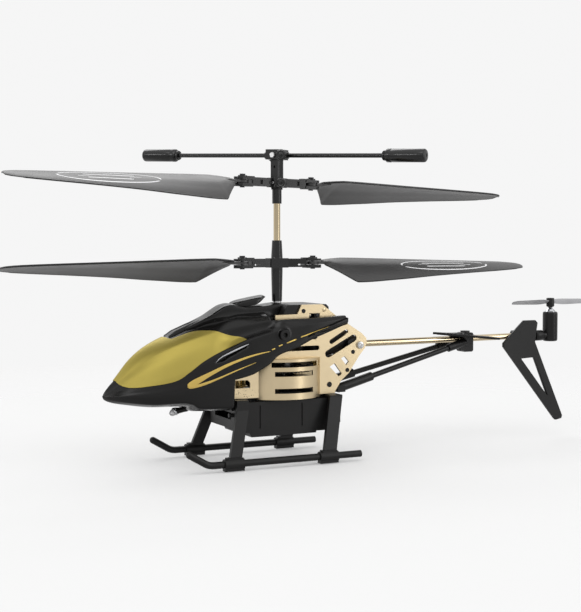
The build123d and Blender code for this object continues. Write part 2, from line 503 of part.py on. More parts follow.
def leg(which, s):
    (xt, zt), (xf, zf) = FRONT_LEG if which == "front" else REAR_LEG
    w = 4.1 if which == "front" else 4.7
    top_y, foot_y = s * 12.4, s * SKID_Y
    xc = COLLAR_X[which]
    l = loft([
        make_face(Polyline(*[(xf + dx, foot_y + dy, zf - 0.4) for dx, dy in ((-w / 2, -0.7), (w / 2, -0.7), (w / 2, 0.7), (-w / 2, 0.7))], close=True)),
        make_face(Polyline(*[(xt + dx, top_y + dy, zt) for dx, dy in ((-w / 2, -0.7), (w / 2, -0.7), (w / 2, 0.7), (-w / 2, 0.7))], close=True)),
    ], ruled=True)
    # foot in on the tray: a flat tab that lies over the tray's edge
    tab = box(xt - w / 2, xt + w / 2, s * 8.4, s * 13.1, zt - 0.1, zt + 1.1 if which == "front" else 21.9)
    if which == "front":
        tab += box(xt - w / 2, xt + w / 2, s * 11.7, s * 13.1, zt - 0.2, 21.9)
        tab = tab - box(xt - w, xt + w, s * 8.0, s * 11.7, 10, 21.0) + box(xt - w / 2, xt + w / 2, s * 8.4, s * 11.9, 20.8, 21.9)
    else:
        tab = box(xt - w / 2, xt + w / 2, s * 8.4, s * 13.1, 20.8, 21.9)
    collar = xcyl(1.75, xc - 3.4, xc + 3.4, s * SKID_Y, SKID_Z) + box(xc - 3.4, xc + 3.4, s * SKID_Y - 1.15, s * SKID_Y + 1.15, 0.0, 1.4)
    collar += box(xc - 2.6, xc + 2.8, s * SKID_Y - 1.1, s * SKID_Y + 1.1, SKID_Z + 1.1, SKID_Z + 2.1)
    l = l + tab + collar
    return l - xcyl(SKID_D / 2, xc - 9, xc + 9, s * SKID_Y, SKID_Z)


for nm, s in (("left", -1), ("right", 1)):
    for which in ("front", "rear"):
        put(f"{which}_{nm}_leg", leg(which, s))
    path = FilletPolyline((23.1, s * SKID_Y, SKID_Z), (-32.0, s * SKID_Y, SKID_Z), (-38.6, s * SKID_Y, SKID_Z + 3.9), radius=6.0)
    sk = sweep(Plane(origin=path @ 0, z_dir=path % 0) * Circle(SKID_D / 2), path=path)
    sk += Pos(*(path @ 1)) * Sphere(SKID_D / 2)
    put(f"{nm}_skid", sk)

# ---- battery box and electronics ------------------------------------------------------------------
TRAY = [(-20.0, 20.8), (18.6, 20.8), (18.6, 12.4), (14.6, 10.0), (9.4, 10.0), (9.4, 9.4), (-6.4, 9.3), (-14.4, 9.3), (-15.2, 10.6), (-20.0, 12.0)]
tray = prism_y(TRAY, -11.0, 11.0)
tray += xcyl(0.7, -21.4, -19.6, -8.2, 16.6) + box(-20.9, -19.9, -9.6, -3.0, 18.2, 18.9)
tray += box(-20.0, -17.2, -8.2, 8.2, 20.8, 21.9) + box(11.0, 17.0, -8.2, 8.2, 20.8, 22.1)
tray -= box(-18.8, 17.4, -9.9, 9.9, 12.9, 19.8)
tray -= box(-14.0, 8.4, -9.0, 9.0, 8.0, 13.5)                  # battery hatch
tray -= box(-21.0, -18.0, -6.8, 6.8, 15.0, 17.3)                 # opening for the leads in the front wall
for s in (-1, 1):
    for x in (-11.4, 4.0):
        tray -= box(x - 0.25, x + 0.25, s * 10.65, s * 12, 12.0, 19.6)   # grooves
tray -= box(-6.0, 1.0, 9.0, 12.0, 15.6, 17.6)                  # switch slot, starboard
tray -= ycyl(1.25, 9.0, 12.0, 8.6, 16.4)                       # charge socket hole
put("battery_box", tray)
cover = box(-14.0, 8.4, -9.0, 9.0, 9.4, 10.4) - box(-13.0, -12.0, -1.6, 1.6, 9.0, 9.8)
cover -= cyl(0.9, 9, 11, 6.6)
put("battery_cover", cover)
put("screws", screws + [cyl(0.9, 9.6, 10.2, 6.6) + cyl(0.4, 10.2, 12.4, 6.6) - box(6.0, 7.2, -0.12, 0.12, 9.2, 9.8) - box(6.48, 6.72, -0.6, 0.6, 9.2, 9.8)])
batt = box(-12.6, 7.0, -7.8, 7.8, 12.6, 19.4)
batt = fillet(batt.edges().filter_by(Axis.X), 1.2)
batt -= cyl(0.6, 12, 13.2, 6.6)
put("battery", batt)
sw = box(-6.4, 1.4, 8.0, 9.8, 14.6, 18.8) - box(-5.2, 0.2, 8.6, 11, 15.9, 17.3)
put("power_switch_body", sw)
put("power_switch_slider", box(-4.9, -2.9, 8.7, 11.7, 16.0, 17.2))
jack = ycyl(2.0, 8.0, 9.9, 8.6, 16.4) + ycyl(1.25, 9.9, 11.0, 8.6, 16.4)
jack -= ycyl(0.75, 8.6, 12.0, 8.6, 16.4)
put("charge_socket", jack)
pcb = box(-45.0, -24.0, -6.6, 6.6, 23.2, 24.2) + box(-44.0, -38.0, -3.0, 3.0, 24.0, 25.4) + box(-37.4, -35.2, -1.6, 1.6, 24.0, 28.0) + box(-34.0, -31.0, -4.5, -2.0, 24.0, 25.6)
pcb += box(-34.0, -28.0, 1.0, 5.0, 24.0, 25.8) + cyl(1.6, 24.0, 27.0, -27.5, -3.6)
put("circuit_board", pcb)
led_dir = (-0.86, 0, -0.5)
lp = (-35.6, 0, 18.8)
q = tuple(lp[i] + led_dir[i] * 1.7 for i in range(3))
e = tuple(lp[i] + led_dir[i] * 2.8 for i in range(3))
led_body = rod(lp, e, 1.3) + Pos(*e) * Sphere(1.3)
put("nose_led", led_body)

# ---- canopy ---------------------------------------------------------------------------------------
# Side-view lines of the outer surface (X, Z) and the plan half width (X, Y).
TOP = [(-61.4, 24.2), (-60.6, 26.0), (-57.6, 29.2), (-52.2, 35.8), (-47.7, 39.3), (-43.1, 41.5), (-38.8, 43.0), (-31.4, 46.2), (-22.8, 49.2),
       (-16.6, 50.9), (-8.0, 51.6), (2.0, 51.8), (20.0, 51.8)]
BOT = [(-61.4, 23.2), (-58.0, 22.1), (-55.0, 21.5), (-46.1, 20.2), (-36.1, 19.9), (-30.0, 18.9), (-22.0, 18.0), (20.0, 18.0)]
HALF = [(-61.4, 0.7), (-60.4, 2.4), (-58.0, 4.6), (-54.0, 7.0), (-49.0, 9.2), (-43.0, 11.1), (-36.0, 12.6), (-29.0, 13.5), (-22.0, 13.9), (-12.0, 14.0),
        (0.0, 13.9), (20.0, 13.5)]
STATIONS = [-61.4, -60.4, -58.0, -55.0, -51.5, -47.5, -43.0, -38.0, -32.0, -26.0, -20.0, -12.0, -4.0, 6.0, 19.9]


def section(x, inset):
    """Half outline from the ridge down to the keel, mirrored to a closed ring."""
    zt, zb, w = interp(TOP, x) - inset, interp(BOT, x) + inset, interp(HALF, x) - inset
    h = zt - zb
    k = min(1.0, max(0.0, (x + 32.0) / 20.0))        # 0 at the rounded nose, 1 at the boxy arms
    front = [(0.34, 0.02), (0.66, 0.115), (0.87, 0.26), (0.97, 0.42), (1.0, 0.60), (0.93, 0.80)]
    rear = [(0.40, 0.01), (0.74, 0.035), (0.945, 0.085), (0.99, 0.22), (1.0, 0.50), (0.97, 0.80)]
    half = [(0.0, zt)] + [((a * (1 - k) + c * k) * w, zt - (b * (1 - k) + d * k) * h) for (a, b), (c, d) in zip(front, rear)]
    half += [(0.74 * w, zb + 0.06 * h), (0.42 * w, zb + 0.012 * h), (0.0, zb)]
    ring = [(x, y, z) for y, z in half] + [(x, -y, z) for y, z in half[-2:0:-1]]
    return make_face(Polyline(*ring, close=True))


def hull_body(inset, x0=None):
    st = [x for x in STATIONS if x0 is None or x > x0 + 0.4]
    if x0 is not None:
        st = [x0] + st
    return loft([section(x, inset) for x in st], ruled=True)


outer = hull_body(0.0)
inner = hull_body(WALL, -59.6)
shell = outer - inner
# everything behind and below the slanted rear edge is open, and so is the roof behind the fairing
LOWER_CUT = [(-22.0, 28.7), (-11.3, 33.0), (-7.4, 37.2), (0.3, 40.7), (11.6, 42.8), (19.3, 46.2), (19.3, 48.6), (22, 48.6), (22, 10), (-22.0, 10)]
REAR_CUT = [(1.6, 60), (1.6, 48.0), (19.3, 48.6), (22, 48.6), (22, 60)]
shell -= prism_y(LOWER_CUT, -20, 20)
shell -= prism_y(REAR_CUT, -20, 20)
shell -= box(-7.4, 25, -11.4, 11.4, 30, 60)                  # roof open between the arms, over the mast and plates
# the side plates' upper edges stand in the gap: the fairing stops in front of the mast
shell -= prism_y([(-33.6, 10), (-33.6, 18.6), (-21.0, 18.6), (-21.0, 10)], -5.5, 5.5)    # belly opening in front of the tray
shell -= box(-26.2, -10, -9.3, 9.3, 10, 22.0)
# windshield seat
WIN = [(-60.6, 27.2), (-58.6, 27.6), (-55.0, 27.0), (-50.5, 26.7), (-41.5, 28.3), (-39.3, 29.2), (-27.7, 35.1), (-15.5, 41.2), (-24.0, 43.6),
       (-31.9, 46.6), (-38.8, 50), (-63, 50), (-63, 29)]
skin = outer - hull_body(0.55, -60.6)
win_prism = prism_y(WIN, -20, 20)
spine = prism_y([(-39.4, 30), (-39.4, 60), (-14, 60), (-14, 30)], -3.2, 3.2)
windshield = (skin & win_prism) - spine
shell = shell - windshield
shell -= ycyl(1.15, -20, 20, *PEG)
shell -= rod((-33.5, 0, 21.6), e, 1.35)
put("canopy", shell)
put("windshield", windshield)
pegs = []
for sg in (-1, 1):
    peg = ycyl(1.1, sg * PLATE_Y, sg * 14.05, *PEG) + ycyl(0.75, sg * IN_Y, sg * PLATE_Y, *PEG) + ycyl(1.8, sg * 13.95, sg * 14.6, *PEG)
    pegs.append(peg - ycyl(0.8, sg * 13.0, sg * 15.0, *PEG))
put("canopy_pegs", pegs)
# hood behind the ridge: a fairing round the mast and a swept intake lip
fairing = prism_y([(-24.0, 47.5), (-19.5, 51.3), (-16.4, 52.6), (1.6, 52.6), (1.6, 49.4), (-6.0, 49.4), (-8.5, 47.5)], -4.7, 4.7)
lip = prism_y([(-17.4, 52.2), (-16.4, 53.3), (-5.8, 55.6), (-7.9, 52.5)], -4.3, 4.3) - prism_y([(-14.5, 54.4), (-7.4, 56.4), (-6.6, 54.6), (-8.6, 52.9), (-14.0, 53.2)], -3.4, 3.4)
scoop = fairing + lip
scoop -= outer
scoop -= cyl(2.35, 40, 60)
put("roof_scoop", scoop)
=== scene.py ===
import bpy, bmesh, math
from mathutils import Vector, Matrix, Quaternion


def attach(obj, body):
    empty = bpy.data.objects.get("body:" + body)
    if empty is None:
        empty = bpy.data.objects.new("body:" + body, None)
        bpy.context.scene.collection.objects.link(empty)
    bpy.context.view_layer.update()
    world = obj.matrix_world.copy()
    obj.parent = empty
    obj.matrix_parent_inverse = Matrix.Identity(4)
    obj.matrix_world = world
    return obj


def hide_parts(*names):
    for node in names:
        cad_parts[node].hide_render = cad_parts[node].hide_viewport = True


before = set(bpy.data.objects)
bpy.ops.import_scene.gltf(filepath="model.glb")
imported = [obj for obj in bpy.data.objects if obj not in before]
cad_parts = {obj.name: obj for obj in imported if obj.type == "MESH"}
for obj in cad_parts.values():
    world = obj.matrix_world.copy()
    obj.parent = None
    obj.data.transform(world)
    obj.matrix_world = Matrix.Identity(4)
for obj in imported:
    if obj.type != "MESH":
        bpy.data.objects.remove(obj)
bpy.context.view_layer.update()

# Every length below is in millimetres with the mast axis at X = 0, Y = 0, as on the drawing of the
# machine; mm() turns it into the frame's metres, where the mast stands at X = -18.9 mm.
MAST_X = -18.9


def mm(p):
    return Vector(((p[0] + MAST_X) / 1000.0, p[1] / 1000.0, p[2] / 1000.0))


# ---------------------------------------------------------------------------------------------------
# camera and light
# ---------------------------------------------------------------------------------------------------
BETA, THETA = math.radians(26.04), math.radians(2.79)
cam_pos = mm((-178.85, -376.53, 71.98))
fwd = Vector((math.sin(BETA) * math.cos(THETA), math.cos(BETA) * math.cos(THETA), -math.sin(THETA)))
right = Vector((math.cos(BETA), -math.sin(BETA), 0.0))
up = right.cross(fwd)
rot = Matrix((right, up, -fwd)).transposed()
cam_data = bpy.data.cameras.new("camera")
cam_data.sensor_width = 36.0
cam_data.lens = 72.35
cam_data.clip_start = 0.01
cam_data.clip_end = 20.0
cam = bpy.data.objects.new("camera", cam_data)
cam.matrix_world = Matrix.Translation(cam_pos) @ rot.to_4x4()
bpy.context.scene.collection.objects.link(cam)
bpy.context.scene.camera = cam
bpy.context.scene.view_settings.view_transform = "Standard"


def area_light(name, loc, target, size, size_y, power, color=(1, 1, 1)):
    d = bpy.data.lights.new(name, "AREA")
    d.shape = "RECTANGLE"
    d.size, d.size_y = size, size_y
    d.energy = power
    d.color = color
    o = bpy.data.objects.new(name, d)
    o.location = Vector(loc)
    o.rotation_euler = (Vector(target) - Vector(loc)).to_track_quat("-Z", "Y").to_euler()
    bpy.context.scene.collection.objects.link(o)
    return o


world = bpy.data.worlds.new("studio")
bpy.context.scene.world = world
world.use_nodes = True
wn = world.node_tree
bg = wn.nodes["Background"]
bg.inputs["Color"].default_value = (0.92, 0.92, 0.92, 1)
bg.inputs["Strength"].default_value = 1.0
sky = wn.nodes.new("ShaderNodeBackground")
grad = wn.nodes.new("ShaderNodeTexCoord")
sep = wn.nodes.new("ShaderNodeSeparateXYZ")
ramp = wn.nodes.new("ShaderNodeValToRGB")
mr = wn.nodes.new("ShaderNodeMapRange")
wn.links.new(grad.outputs["Generated"], sep.inputs[0])
mr.inputs["From Min"].default_value, mr.inputs["From Max"].default_value = -1.0, 1.0
wn.links.new(sep.outputs["Z"], mr.inputs["Value"])
wn.links.new(mr.outputs["Result"], ramp.inputs["Fac"])
el = ramp.color_ramp.elements
for pos, c in ((0.0, 0.14), (0.46, 0.15), (0.56, 0.25), (0.75, 0.75), (1.0, 1.0)):
    e = el[0] if pos == 0.0 else (el[1] if pos == 1.0 else el.new(pos))
    e.position = pos
    e.color = (c, c, c, 1)
back = wn.nodes.new("ShaderNodeMapRange")
back.inputs["From Min"].default_value, back.inputs["From Max"].default_value = 0.05, 0.75
wn.links.new(sep.outputs["Y"], back.inputs["Value"])
backmix = wn.nodes.new("ShaderNodeMix")
backmix.data_type = "RGBA"
backmix.inputs["B"].default_value = (0.78, 0.78, 0.78, 1)
wn.links.new(back.outputs["Result"], backmix.inputs["Factor"])
wn.links.new(ramp.outputs["Color"], backmix.inputs["A"])
wn.links.new(backmix.outputs["Result"], sky.inputs["Color"])
sky.inputs["Strength"].default_value = 1.1
lp = wn.nodes.new("ShaderNodeLightPath")
mixw = wn.nodes.new("ShaderNodeMixShader")
wn.links.new(lp.outputs["Is Camera Ray"], mixw.inputs[0])
wn.links.new(sky.outputs[0], mixw.inputs[1])
wn.links.new(bg.outputs[0], mixw.inputs[2])
wn.links.new(mixw.outputs[0], wn.nodes["World Output"].inputs["Surface"])

area_light("key", (-0.55, -0.55, 0.95), (0, 0, 0.05), 0.7, 0.5, 1.7)
area_light("fill", (0.75, -0.7, 0.5), (0, 0, 0.05), 0.6, 0.6, 1.5)
area_light("strip_left", (-0.95, -0.10, 0.32), (0, 0, 0.08), 0.6, 0.045, 1.0)
area_light("strip_right", (0.55, -0.75, 0.12), (0, 0, 0.06), 0.12, 0.6, 0.7)
area_light("rim", (0.1, 0.8, 0.8), (0, 0, 0.06), 0.9, 0.4, 2.6)

# ---------------------------------------------------------------------------------------------------
# materials
# ---------------------------------------------------------------------------------------------------


class Mat:
    """A small helper round a node tree."""

    def __init__(self, name):
        self.m = bpy.data.materials.new(name)
        self.m.use_nodes = True
        self.t = self.m.node_tree
        self.n = self.t.nodes
        self.b = self.n["Principled BSDF"]
        self.coord = self.n.new("ShaderNodeTexCoord")

    def set(self, **kw):
        for k, v in kw.items():
            self.b.inputs[k.replace("_", " ")].default_value = v
        return self

    def node(self, kind, **kw):
        nd = self.n.new(kind)
        for k, v in kw.items():
            if k in nd.inputs:
                nd.inputs[k].default_value = v
            else:
                setattr(nd, k, v)
        return nd

    def link(self, a, b):
        self.t.links.new(a, b)

    def noise(self, scale, detail=3.0, rough=0.55, stretch=None, distortion=0.0):
        nd = self.n.new("ShaderNodeTexNoise")
        nd.inputs["Scale"].default_value = scale
        nd.inputs["Detail"].default_value = detail
        nd.inputs["Roughness"].default_value = rough
        nd.inputs["Distortion"].default_value = distortion
        if stretch:
            mp = self.n.new("ShaderNodeMapping")
            mp.inputs["Scale"].default_value = stretch
            self.link(self.coord.outputs["Object"], mp.inputs["Vector"])
            self.link(mp.outputs["Vector"], nd.inputs["Vector"])
        else:
            self.link(self.coord.outputs["Object"], nd.inputs["Vector"])
        return nd.outputs["Fac"]

    def ramp(self, fac, stops):
        r = self.n.new("ShaderNodeValToRGB")
        el = r.color_ramp.elements
        while len(el) < len(stops):
            el.new(0.5)
        for e, (p, c) in zip(el, stops):
            e.position = p
            e.color = (c[0], c[1], c[2], 1.0) if not isinstance(c, (int, float)) else (c, c, c, 1.0)
        self.link(fac, r.inputs["Fac"])
        return r.outputs["Color"]

    def map_range(self, fac, a, b, c, d):
        r = self.n.new("ShaderNodeMapRange")
        r.inputs["From Min"].default_value = a
        r.inputs["From Max"].default_value = b
        r.inputs["To Min"].default_value = c
        r.inputs["To Max"].default_value = d
        self.link(fac, r.inputs["Value"])
        return r.outputs["Result"]

    def bump(self, height, strength, distance, normal=None):
        b = self.n.new("ShaderNodeBump")
        b.inputs["Strength"].default_value = strength
        b.inputs["Distance"].default_value = distance
        self.link(height, b.inputs["Height"])
        if normal is not None:
            self.link(normal, b.inputs["Normal"])
        return b.outputs["Normal"]


def plastic(name, base, lo, hi, grain=2600.0, grain_h=0.000004, coat=0.0, spec=0.5, var=0.25, smudge=70.0):
    """Moulded plastic: fine grain in the bump, slow smudges in the roughness, a little colour drift."""
    k = Mat(name)
    slow = k.noise(smudge, 4.0, 0.6)
    fine = k.noise(grain, 2.0, 0.5)
    k.link(k.ramp(slow, [(0.3, [c * (1 - var) for c in base]), (0.7, [min(1, c * (1 + var)) for c in base])]), k.b.inputs["Base Color"])
    k.link(k.map_range(slow, 0.3, 0.7, lo, hi), k.b.inputs["Roughness"])
    k.link(k.bump(fine, 0.35, grain_h), k.b.inputs["Normal"])
    k.set(Coat_Weight=coat, Coat_Roughness=0.08, Specular_IOR_Level=spec)
    return k.m


def metal(name, base, lo, hi, stretch=None, scale=900.0, height=0.000006, var=0.08, aniso=0.0):
    k = Mat(name)
    slow = k.noise(45.0, 3.0, 0.6)
    fine = k.noise(scale, 4.0, 0.6, stretch=stretch)
    k.link(k.ramp(slow, [(0.3, [c * (1 - var) for c in base]), (0.7, [min(1, c * (1 + var)) for c in base])]), k.b.inputs["Base Color"])
    k.link(k.map_range(fine, 0.25, 0.75, lo, hi), k.b.inputs["Roughness"])
    k.link(k.bump(fine, 0.25, height), k.b.inputs["Normal"])
    k.set(Metallic=1.0, Anisotropic=aniso)
    return k.m


M = {}
M["canopy_black"] = plastic("canopy_black", (0.0052, 0.0049, 0.0046), 0.19, 0.28, grain=1800, grain_h=0.000002, coat=0.0, spec=0.32)
M["black"] = plastic("black_plastic", (0.0055, 0.0052, 0.005), 0.28, 0.40, spec=0.30)
M["gloss"] = plastic("gloss_black_plastic", (0.006, 0.006, 0.006), 0.16, 0.22, grain=900, grain_h=0.000001, spec=0.5)
M["matte"] = plastic("matte_black_plastic", (0.0065, 0.0062, 0.006), 0.36, 0.48, grain=2200, grain_h=0.000008, spec=0.32)
M["blade"] = plastic("blade_plastic", (0.038, 0.037, 0.037), 0.34, 0.42, grain=700, grain_h=0.0000002, var=0.10)
M["gold_plate"] = metal("champagne_metal", (0.735, 0.60, 0.385), 0.30, 0.40, stretch=(1.0, 1.0, 12.0), scale=500.0, height=0.000003)
k = Mat.__new__(Mat)
k.m = M["gold_plate"]
k.t, k.n = k.m.node_tree, k.m.node_tree.nodes
k.b = k.n["Principled BSDF"]
k.coord = k.n.new("ShaderNodeTexCoord")
vor = k.n.new("ShaderNodeTexVoronoi")
vor.inputs["Scale"].default_value = 1500.0
k.link(k.coord.outputs["Object"], vor.inputs["Vector"])
pit = k.map_range(vor.outputs["Distance"], 0.16, 0.30, 1.0, 0.0)
xyz = k.n.new("ShaderNodeSeparateXYZ")
k.link(k.coord.outputs["Object"], xyz.inputs[0])
mx1 = k.map_range(xyz.outputs["X"], -0.0330, -0.0310, 1.0, 0.0)
mz1 = k.map_range(xyz.outputs["Z"], 0.0255, 0.0245, 0.0, 1.0)
mask = k.n.new("ShaderNodeMath")
mask.operation = "MULTIPLY"
k.link(mx1, mask.inputs[0])
k.link(mz1, mask.inputs[1])
mask2 = k.n.new("ShaderNodeMath")
mask2.operation = "MULTIPLY"
k.link(mask.outputs[0], mask2.inputs[0])
k.link(pit, mask2.inputs[1])
old = k.b.inputs["Base Color"].links[0].from_socket
dark = k.n.new("ShaderNodeMix")
dark.data_type = "RGBA"
dark.inputs["B"].default_value = (0.20, 0.15, 0.09, 1)
k.link(mask2.outputs[0], dark.inputs["Factor"])
k.link(old, dark.inputs["A"])
k.link(dark.outputs["Result"], k.b.inputs["Base Color"])
M["gold_tube"] = metal("gold_tube", (0.62, 0.51, 0.34), 0.15, 0.17, scale=40.0, height=0.0000001, var=0.12)
M["steel"] = metal("steel", (0.62, 0.62, 0.62), 0.22, 0.38)
M["brass"] = metal("brass", (0.78, 0.60, 0.28), 0.2, 0.35)
M["foil"] = metal("battery_foil", (0.62, 0.64, 0.66), 0.3, 0.45)
M["board"] = plastic("board_green", (0.01, 0.10, 0.03), 0.3, 0.45)
M["wire"] = plastic("wire_red", (0.30, 0.01, 0.01), 0.4, 0.5)
M["screen_gold"] = metal("windshield_gold", (0.43, 0.345, 0.075), 0.42, 0.50, scale=3000.0, height=0.000002, var=0.05)
M["screen_gold"].node_tree.nodes["Principled BSDF"].inputs["Metallic"].default_value = 0.72


def glass(name):
    k = Mat(name)
    f = k.noise(400.0, 2.0, 0.5)
    k.link(k.map_range(f, 0.3, 0.7, 0.03, 0.08), k.b.inputs["Roughness"])
    k.link(k.bump(f, 0.2, 0.00002), k.b.inputs["Normal"])
    k.set(Base_Color=(0.97, 0.97, 0.98, 1), Transmission_Weight=0.55, IOR=1.49)
    return k.m


M["lens"] = glass("clear_lens")
M["print_white"] = plastic("print_white", (0.93, 0.93, 0.94), 0.5, 0.6, grain_h=0.000001, var=0.04)
M["prop_grey"] = plastic("prop_grey", (0.30, 0.30, 0.31), 0.30, 0.42, grain_h=0.000002)
M["dark_metal"] = metal("dark_metal", (0.055, 0.055, 0.058), 0.28, 0.40)
M["decal_gold"] = metal("decal_gold", (0.70, 0.50, 0.14), 0.30, 0.40, scale=2500.0, height=0.000002, var=0.06)
M["chrome"] = metal("chrome", (0.62, 0.63, 0.65), 0.10, 0.20)

NODE_MAT = {
    "canopy_black": ["canopy", "roof_scoop"],
    "screen_gold": ["windshield"],
    "gold_plate": ["left_side_plate", "right_side_plate"],
    "black": ["upper_main_gear", "lower_main_gear", "canopy_pegs", "frame_spacers", "lower_deck", "motor_mount", "mast_block", "tail_motor_holder", "boom_clamp", "boom_holder", "strut_bracket",
              "left_tail_strut", "right_tail_strut", "horizontal_stabilizer", "power_switch_body", "power_switch_slider"],
    "gloss": ["lower_rotor_hub", "rotor_head", "upper_blade_hub", "flybar", "near_link", "far_link", "flybar_weights"],
    "matte": ["front_left_leg", "front_right_leg", "rear_left_leg", "rear_right_leg", "left_skid", "right_skid", "battery_box", "battery_cover", "tail_fin"],
    "blade": ["upper_nose_blade", "upper_tail_blade", "lower_nose_blade", "lower_tail_blade", "tail_propeller"],
    "gold_tube": ["inner_mast", "tail_boom"],
    "dark_metal": ["screws", "upper_blade_screws", "lower_blade_screws", "front_motor", "rear_motor"],
    "steel": ["teeter_pins", "outer_mast", "tail_motor", "charge_socket"],
    "brass": ["mast_bushes", "front_pinion", "rear_pinion"],
    "foil": ["battery"], "board": ["circuit_board"], "lens": ["nose_led"], "wire": ["tail_motor_leads"],
}
for key, names in NODE_MAT.items():
    for nm in names:
        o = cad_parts[nm]
        if not o.material_slots:
            o.data.materials.append(M[key])
        for s in o.material_slots:
            s.material = M[key]

# ---------------------------------------------------------------------------------------------------
# mesh helpers
# ---------------------------------------------------------------------------------------------------
def lerp(a, b, t):
    return a + (b - a) * t


def smooth(t):
    t = min(1.0, max(0.0, t))
    return t * t * (3 - 2 * t)


def table(rows, x):
    """Smooth one-dimensional interpolation (Hermite with limited slopes) of rows of (x, v)."""
    n = len(rows)
    if x <= rows[0][0]:
        return rows[0][1]
    if x >= rows[-1][0]:
        return rows[-1][1]
    i = 0
    while x > rows[i + 1][0]:
        i += 1
    d = [(rows[k + 1][1] - rows[k][1]) / (rows[k + 1][0] - rows[k][0]) for k in range(n - 1)]

    def slope(k):
        if k == 0:
            return d[0]
        if k == n - 1:
            return d[-1]
        if d[k - 1] * d[k] <= 0:
            return 0.0
        return 2 * d[k - 1] * d[k] / (d[k - 1] + d[k])
    h = rows[i + 1][0] - rows[i][0]
    t = (x - rows[i][0]) / h
    m0, m1 = slope(i) * h, slope(i + 1) * h
    return ((2 * t ** 3 - 3 * t ** 2 + 1) * rows[i][1] + (t ** 3 - 2 * t ** 2 + t) * m0
            + (-2 * t ** 3 + 3 * t ** 2) * rows[i + 1][1] + (t ** 3 - t ** 2) * m1)


def catmull(p0, p1, p2, p3, t):
    return 0.5 * ((2 * p1) + (-p0 + p2) * t + (2 * p0 - 5 * p1 + 4 * p2 - p3) * t * t + (-p0 + 3 * p1 - 3 * p2 + p3) * t ** 3)


def make(name, verts, faces, body, mat, replaces=(), smooth_shade=True, sharp=None):
    """A mesh piece from millimetre points in mast coordinates, riding on a body."""
    me = bpy.data.meshes.new(name)
    me.from_pydata([mm(v) for v in verts], [], faces)
    me.validate()
    me.update()
    o = bpy.data.objects.new(name, me)
    bpy.context.scene.collection.objects.link(o)
    if isinstance(mat, (list, tuple)):
        for k in mat:
            me.materials.append(M[k])
    else:
        me.materials.append(M[mat])
    tidy(me, sharp)
    if not smooth_shade:
        for p in me.polygons:
            p.use_smooth = False
    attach(o, body)
    if replaces:
        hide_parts(*replaces)
    return o


def tidy(me, sharp=None):
    bm = bmesh.new()
    bm.from_mesh(me)
    bmesh.ops.remove_doubles(bm, verts=bm.verts, dist=1e-7)
    bmesh.ops.dissolve_degenerate(bm, edges=bm.edges, dist=1e-8)
    bmesh.ops.recalc_face_normals(bm, faces=bm.faces)
    for f in bm.faces:
        f.smooth = True
    if sharp is not None:
        for e in bm.edges:
            e.smooth = not (len(e.link_faces) == 2 and e.calc_face_angle(0.0) > math.radians(sharp))
    bm.to_mesh(me)
    bm.free()


def modify(o, kind, **kw):
    m = o.modifiers.new(kind.lower(), kind)
    for k, v in kw.items():
        setattr(m, k, v)
    return m


def bake(o):
    """Applies the modifiers of a piece built here."""
    dg = bpy.context.evaluated_depsgraph_get()
    ev = o.evaluated_get(dg)
    me = bpy.data.meshes.new_from_object(ev, preserve_all_data_layers=True, depsgraph=dg)
    old = o.data
    o.modifiers.clear()
    o.data = me
    bpy.data.meshes.remove(old)
    return o


def cut(o, cutters, op="DIFFERENCE"):
    for c in cutters:
        modify(o, "BOOLEAN", operation=op, object=c, solver="EXACT")
        bake(o)
    for c in cutters:
        bpy.data.objects.remove(c, do_unlink=True)
    return o


def scratch(name, verts, faces):
    me = bpy.data.meshes.new(name)
    me.from_pydata([mm(v) for v in verts], [], faces)
    bm = bmesh.new()
    bm.from_mesh(me)
    bmesh.ops.recalc_face_normals(bm, faces=bm.faces)
    bm.to_mesh(me)
    bm.free()
    o = bpy.data.objects.new(name, me)
    bpy.context.scene.collection.objects.link(o)
    return o


def loft(rings, cap=True, closed=True):
    """Vertices and faces of a skin over rings of equal length."""
    v, f = [], []
    n = len(rings[0])
    for r in rings:
        v += list(r)
    m = n if closed else n - 1
    for i in range(len(rings) - 1):
        for j in range(m):
            a, b = i * n + j, i * n + (j + 1) % n
            f.append((a, b, b + n, a + n))
    if cap:
        f.append(tuple(range(n)))
        f.append(tuple((len(rings) - 1) * n + j for j in reversed(range(n))))
    return v, f


# ---------------------------------------------------------------------------------------------------
# canopy
# ---------------------------------------------------------------------------------------------------
RIDGE = [(-61.6, 24.1), (-61.0, 25.3), (-59.6, 27.1), (-57.6, 29.2), (-52.2, 35.6), (-47.7, 39.1), (-43.1, 41.5), (-38.8, 43.2), (-31.4, 46.2), (-22.8, 49.0),
         (-16.6, 50.2), (-7.4, 50.4)]
KEEL = [(-61.6, 23.9), (-61.0, 22.9), (-58.6, 21.9), (-55.0, 21.2), (-46.1, 20.1), (-37.0, 19.9), (-35.2, 19.7), (-34.2, 18.8), (-33.2, 18.2), (-21.8, 17.9)]
SH_Y = [(-61.6, 0.0), (-60.6, 0.7), (-58.0, 1.7), (-54.8, 3.0), (-52.6, 3.8), (-50.8, 4.45), (-48.1, 5.35), (-45.0, 6.4), (-41.8, 7.4), (-36.3, 8.6), (-29.5, 9.5),
        (-24.6, 9.7), (-20.5, 9.7), (-14.3, 10.0), (-8.0, 10.4), (-4.0, 11.0), (19.7, 11.2)]
SH_Z = [(-61.6, 24.0), (-60.6, 25.0), (-58.0, 27.3), (-54.8, 30.2), (-52.6, 32.0), (-50.8, 33.4), (-48.1, 35.4), (-45.0, 37.3), (-41.8, 38.9), (-36.3, 41.1), (-29.5, 43.2),
        (-24.6, 44.4), (-20.5, 45.3), (-14.3, 46.4), (-5.6, 47.6), (4.8, 47.9), (19.7, 48.6)]
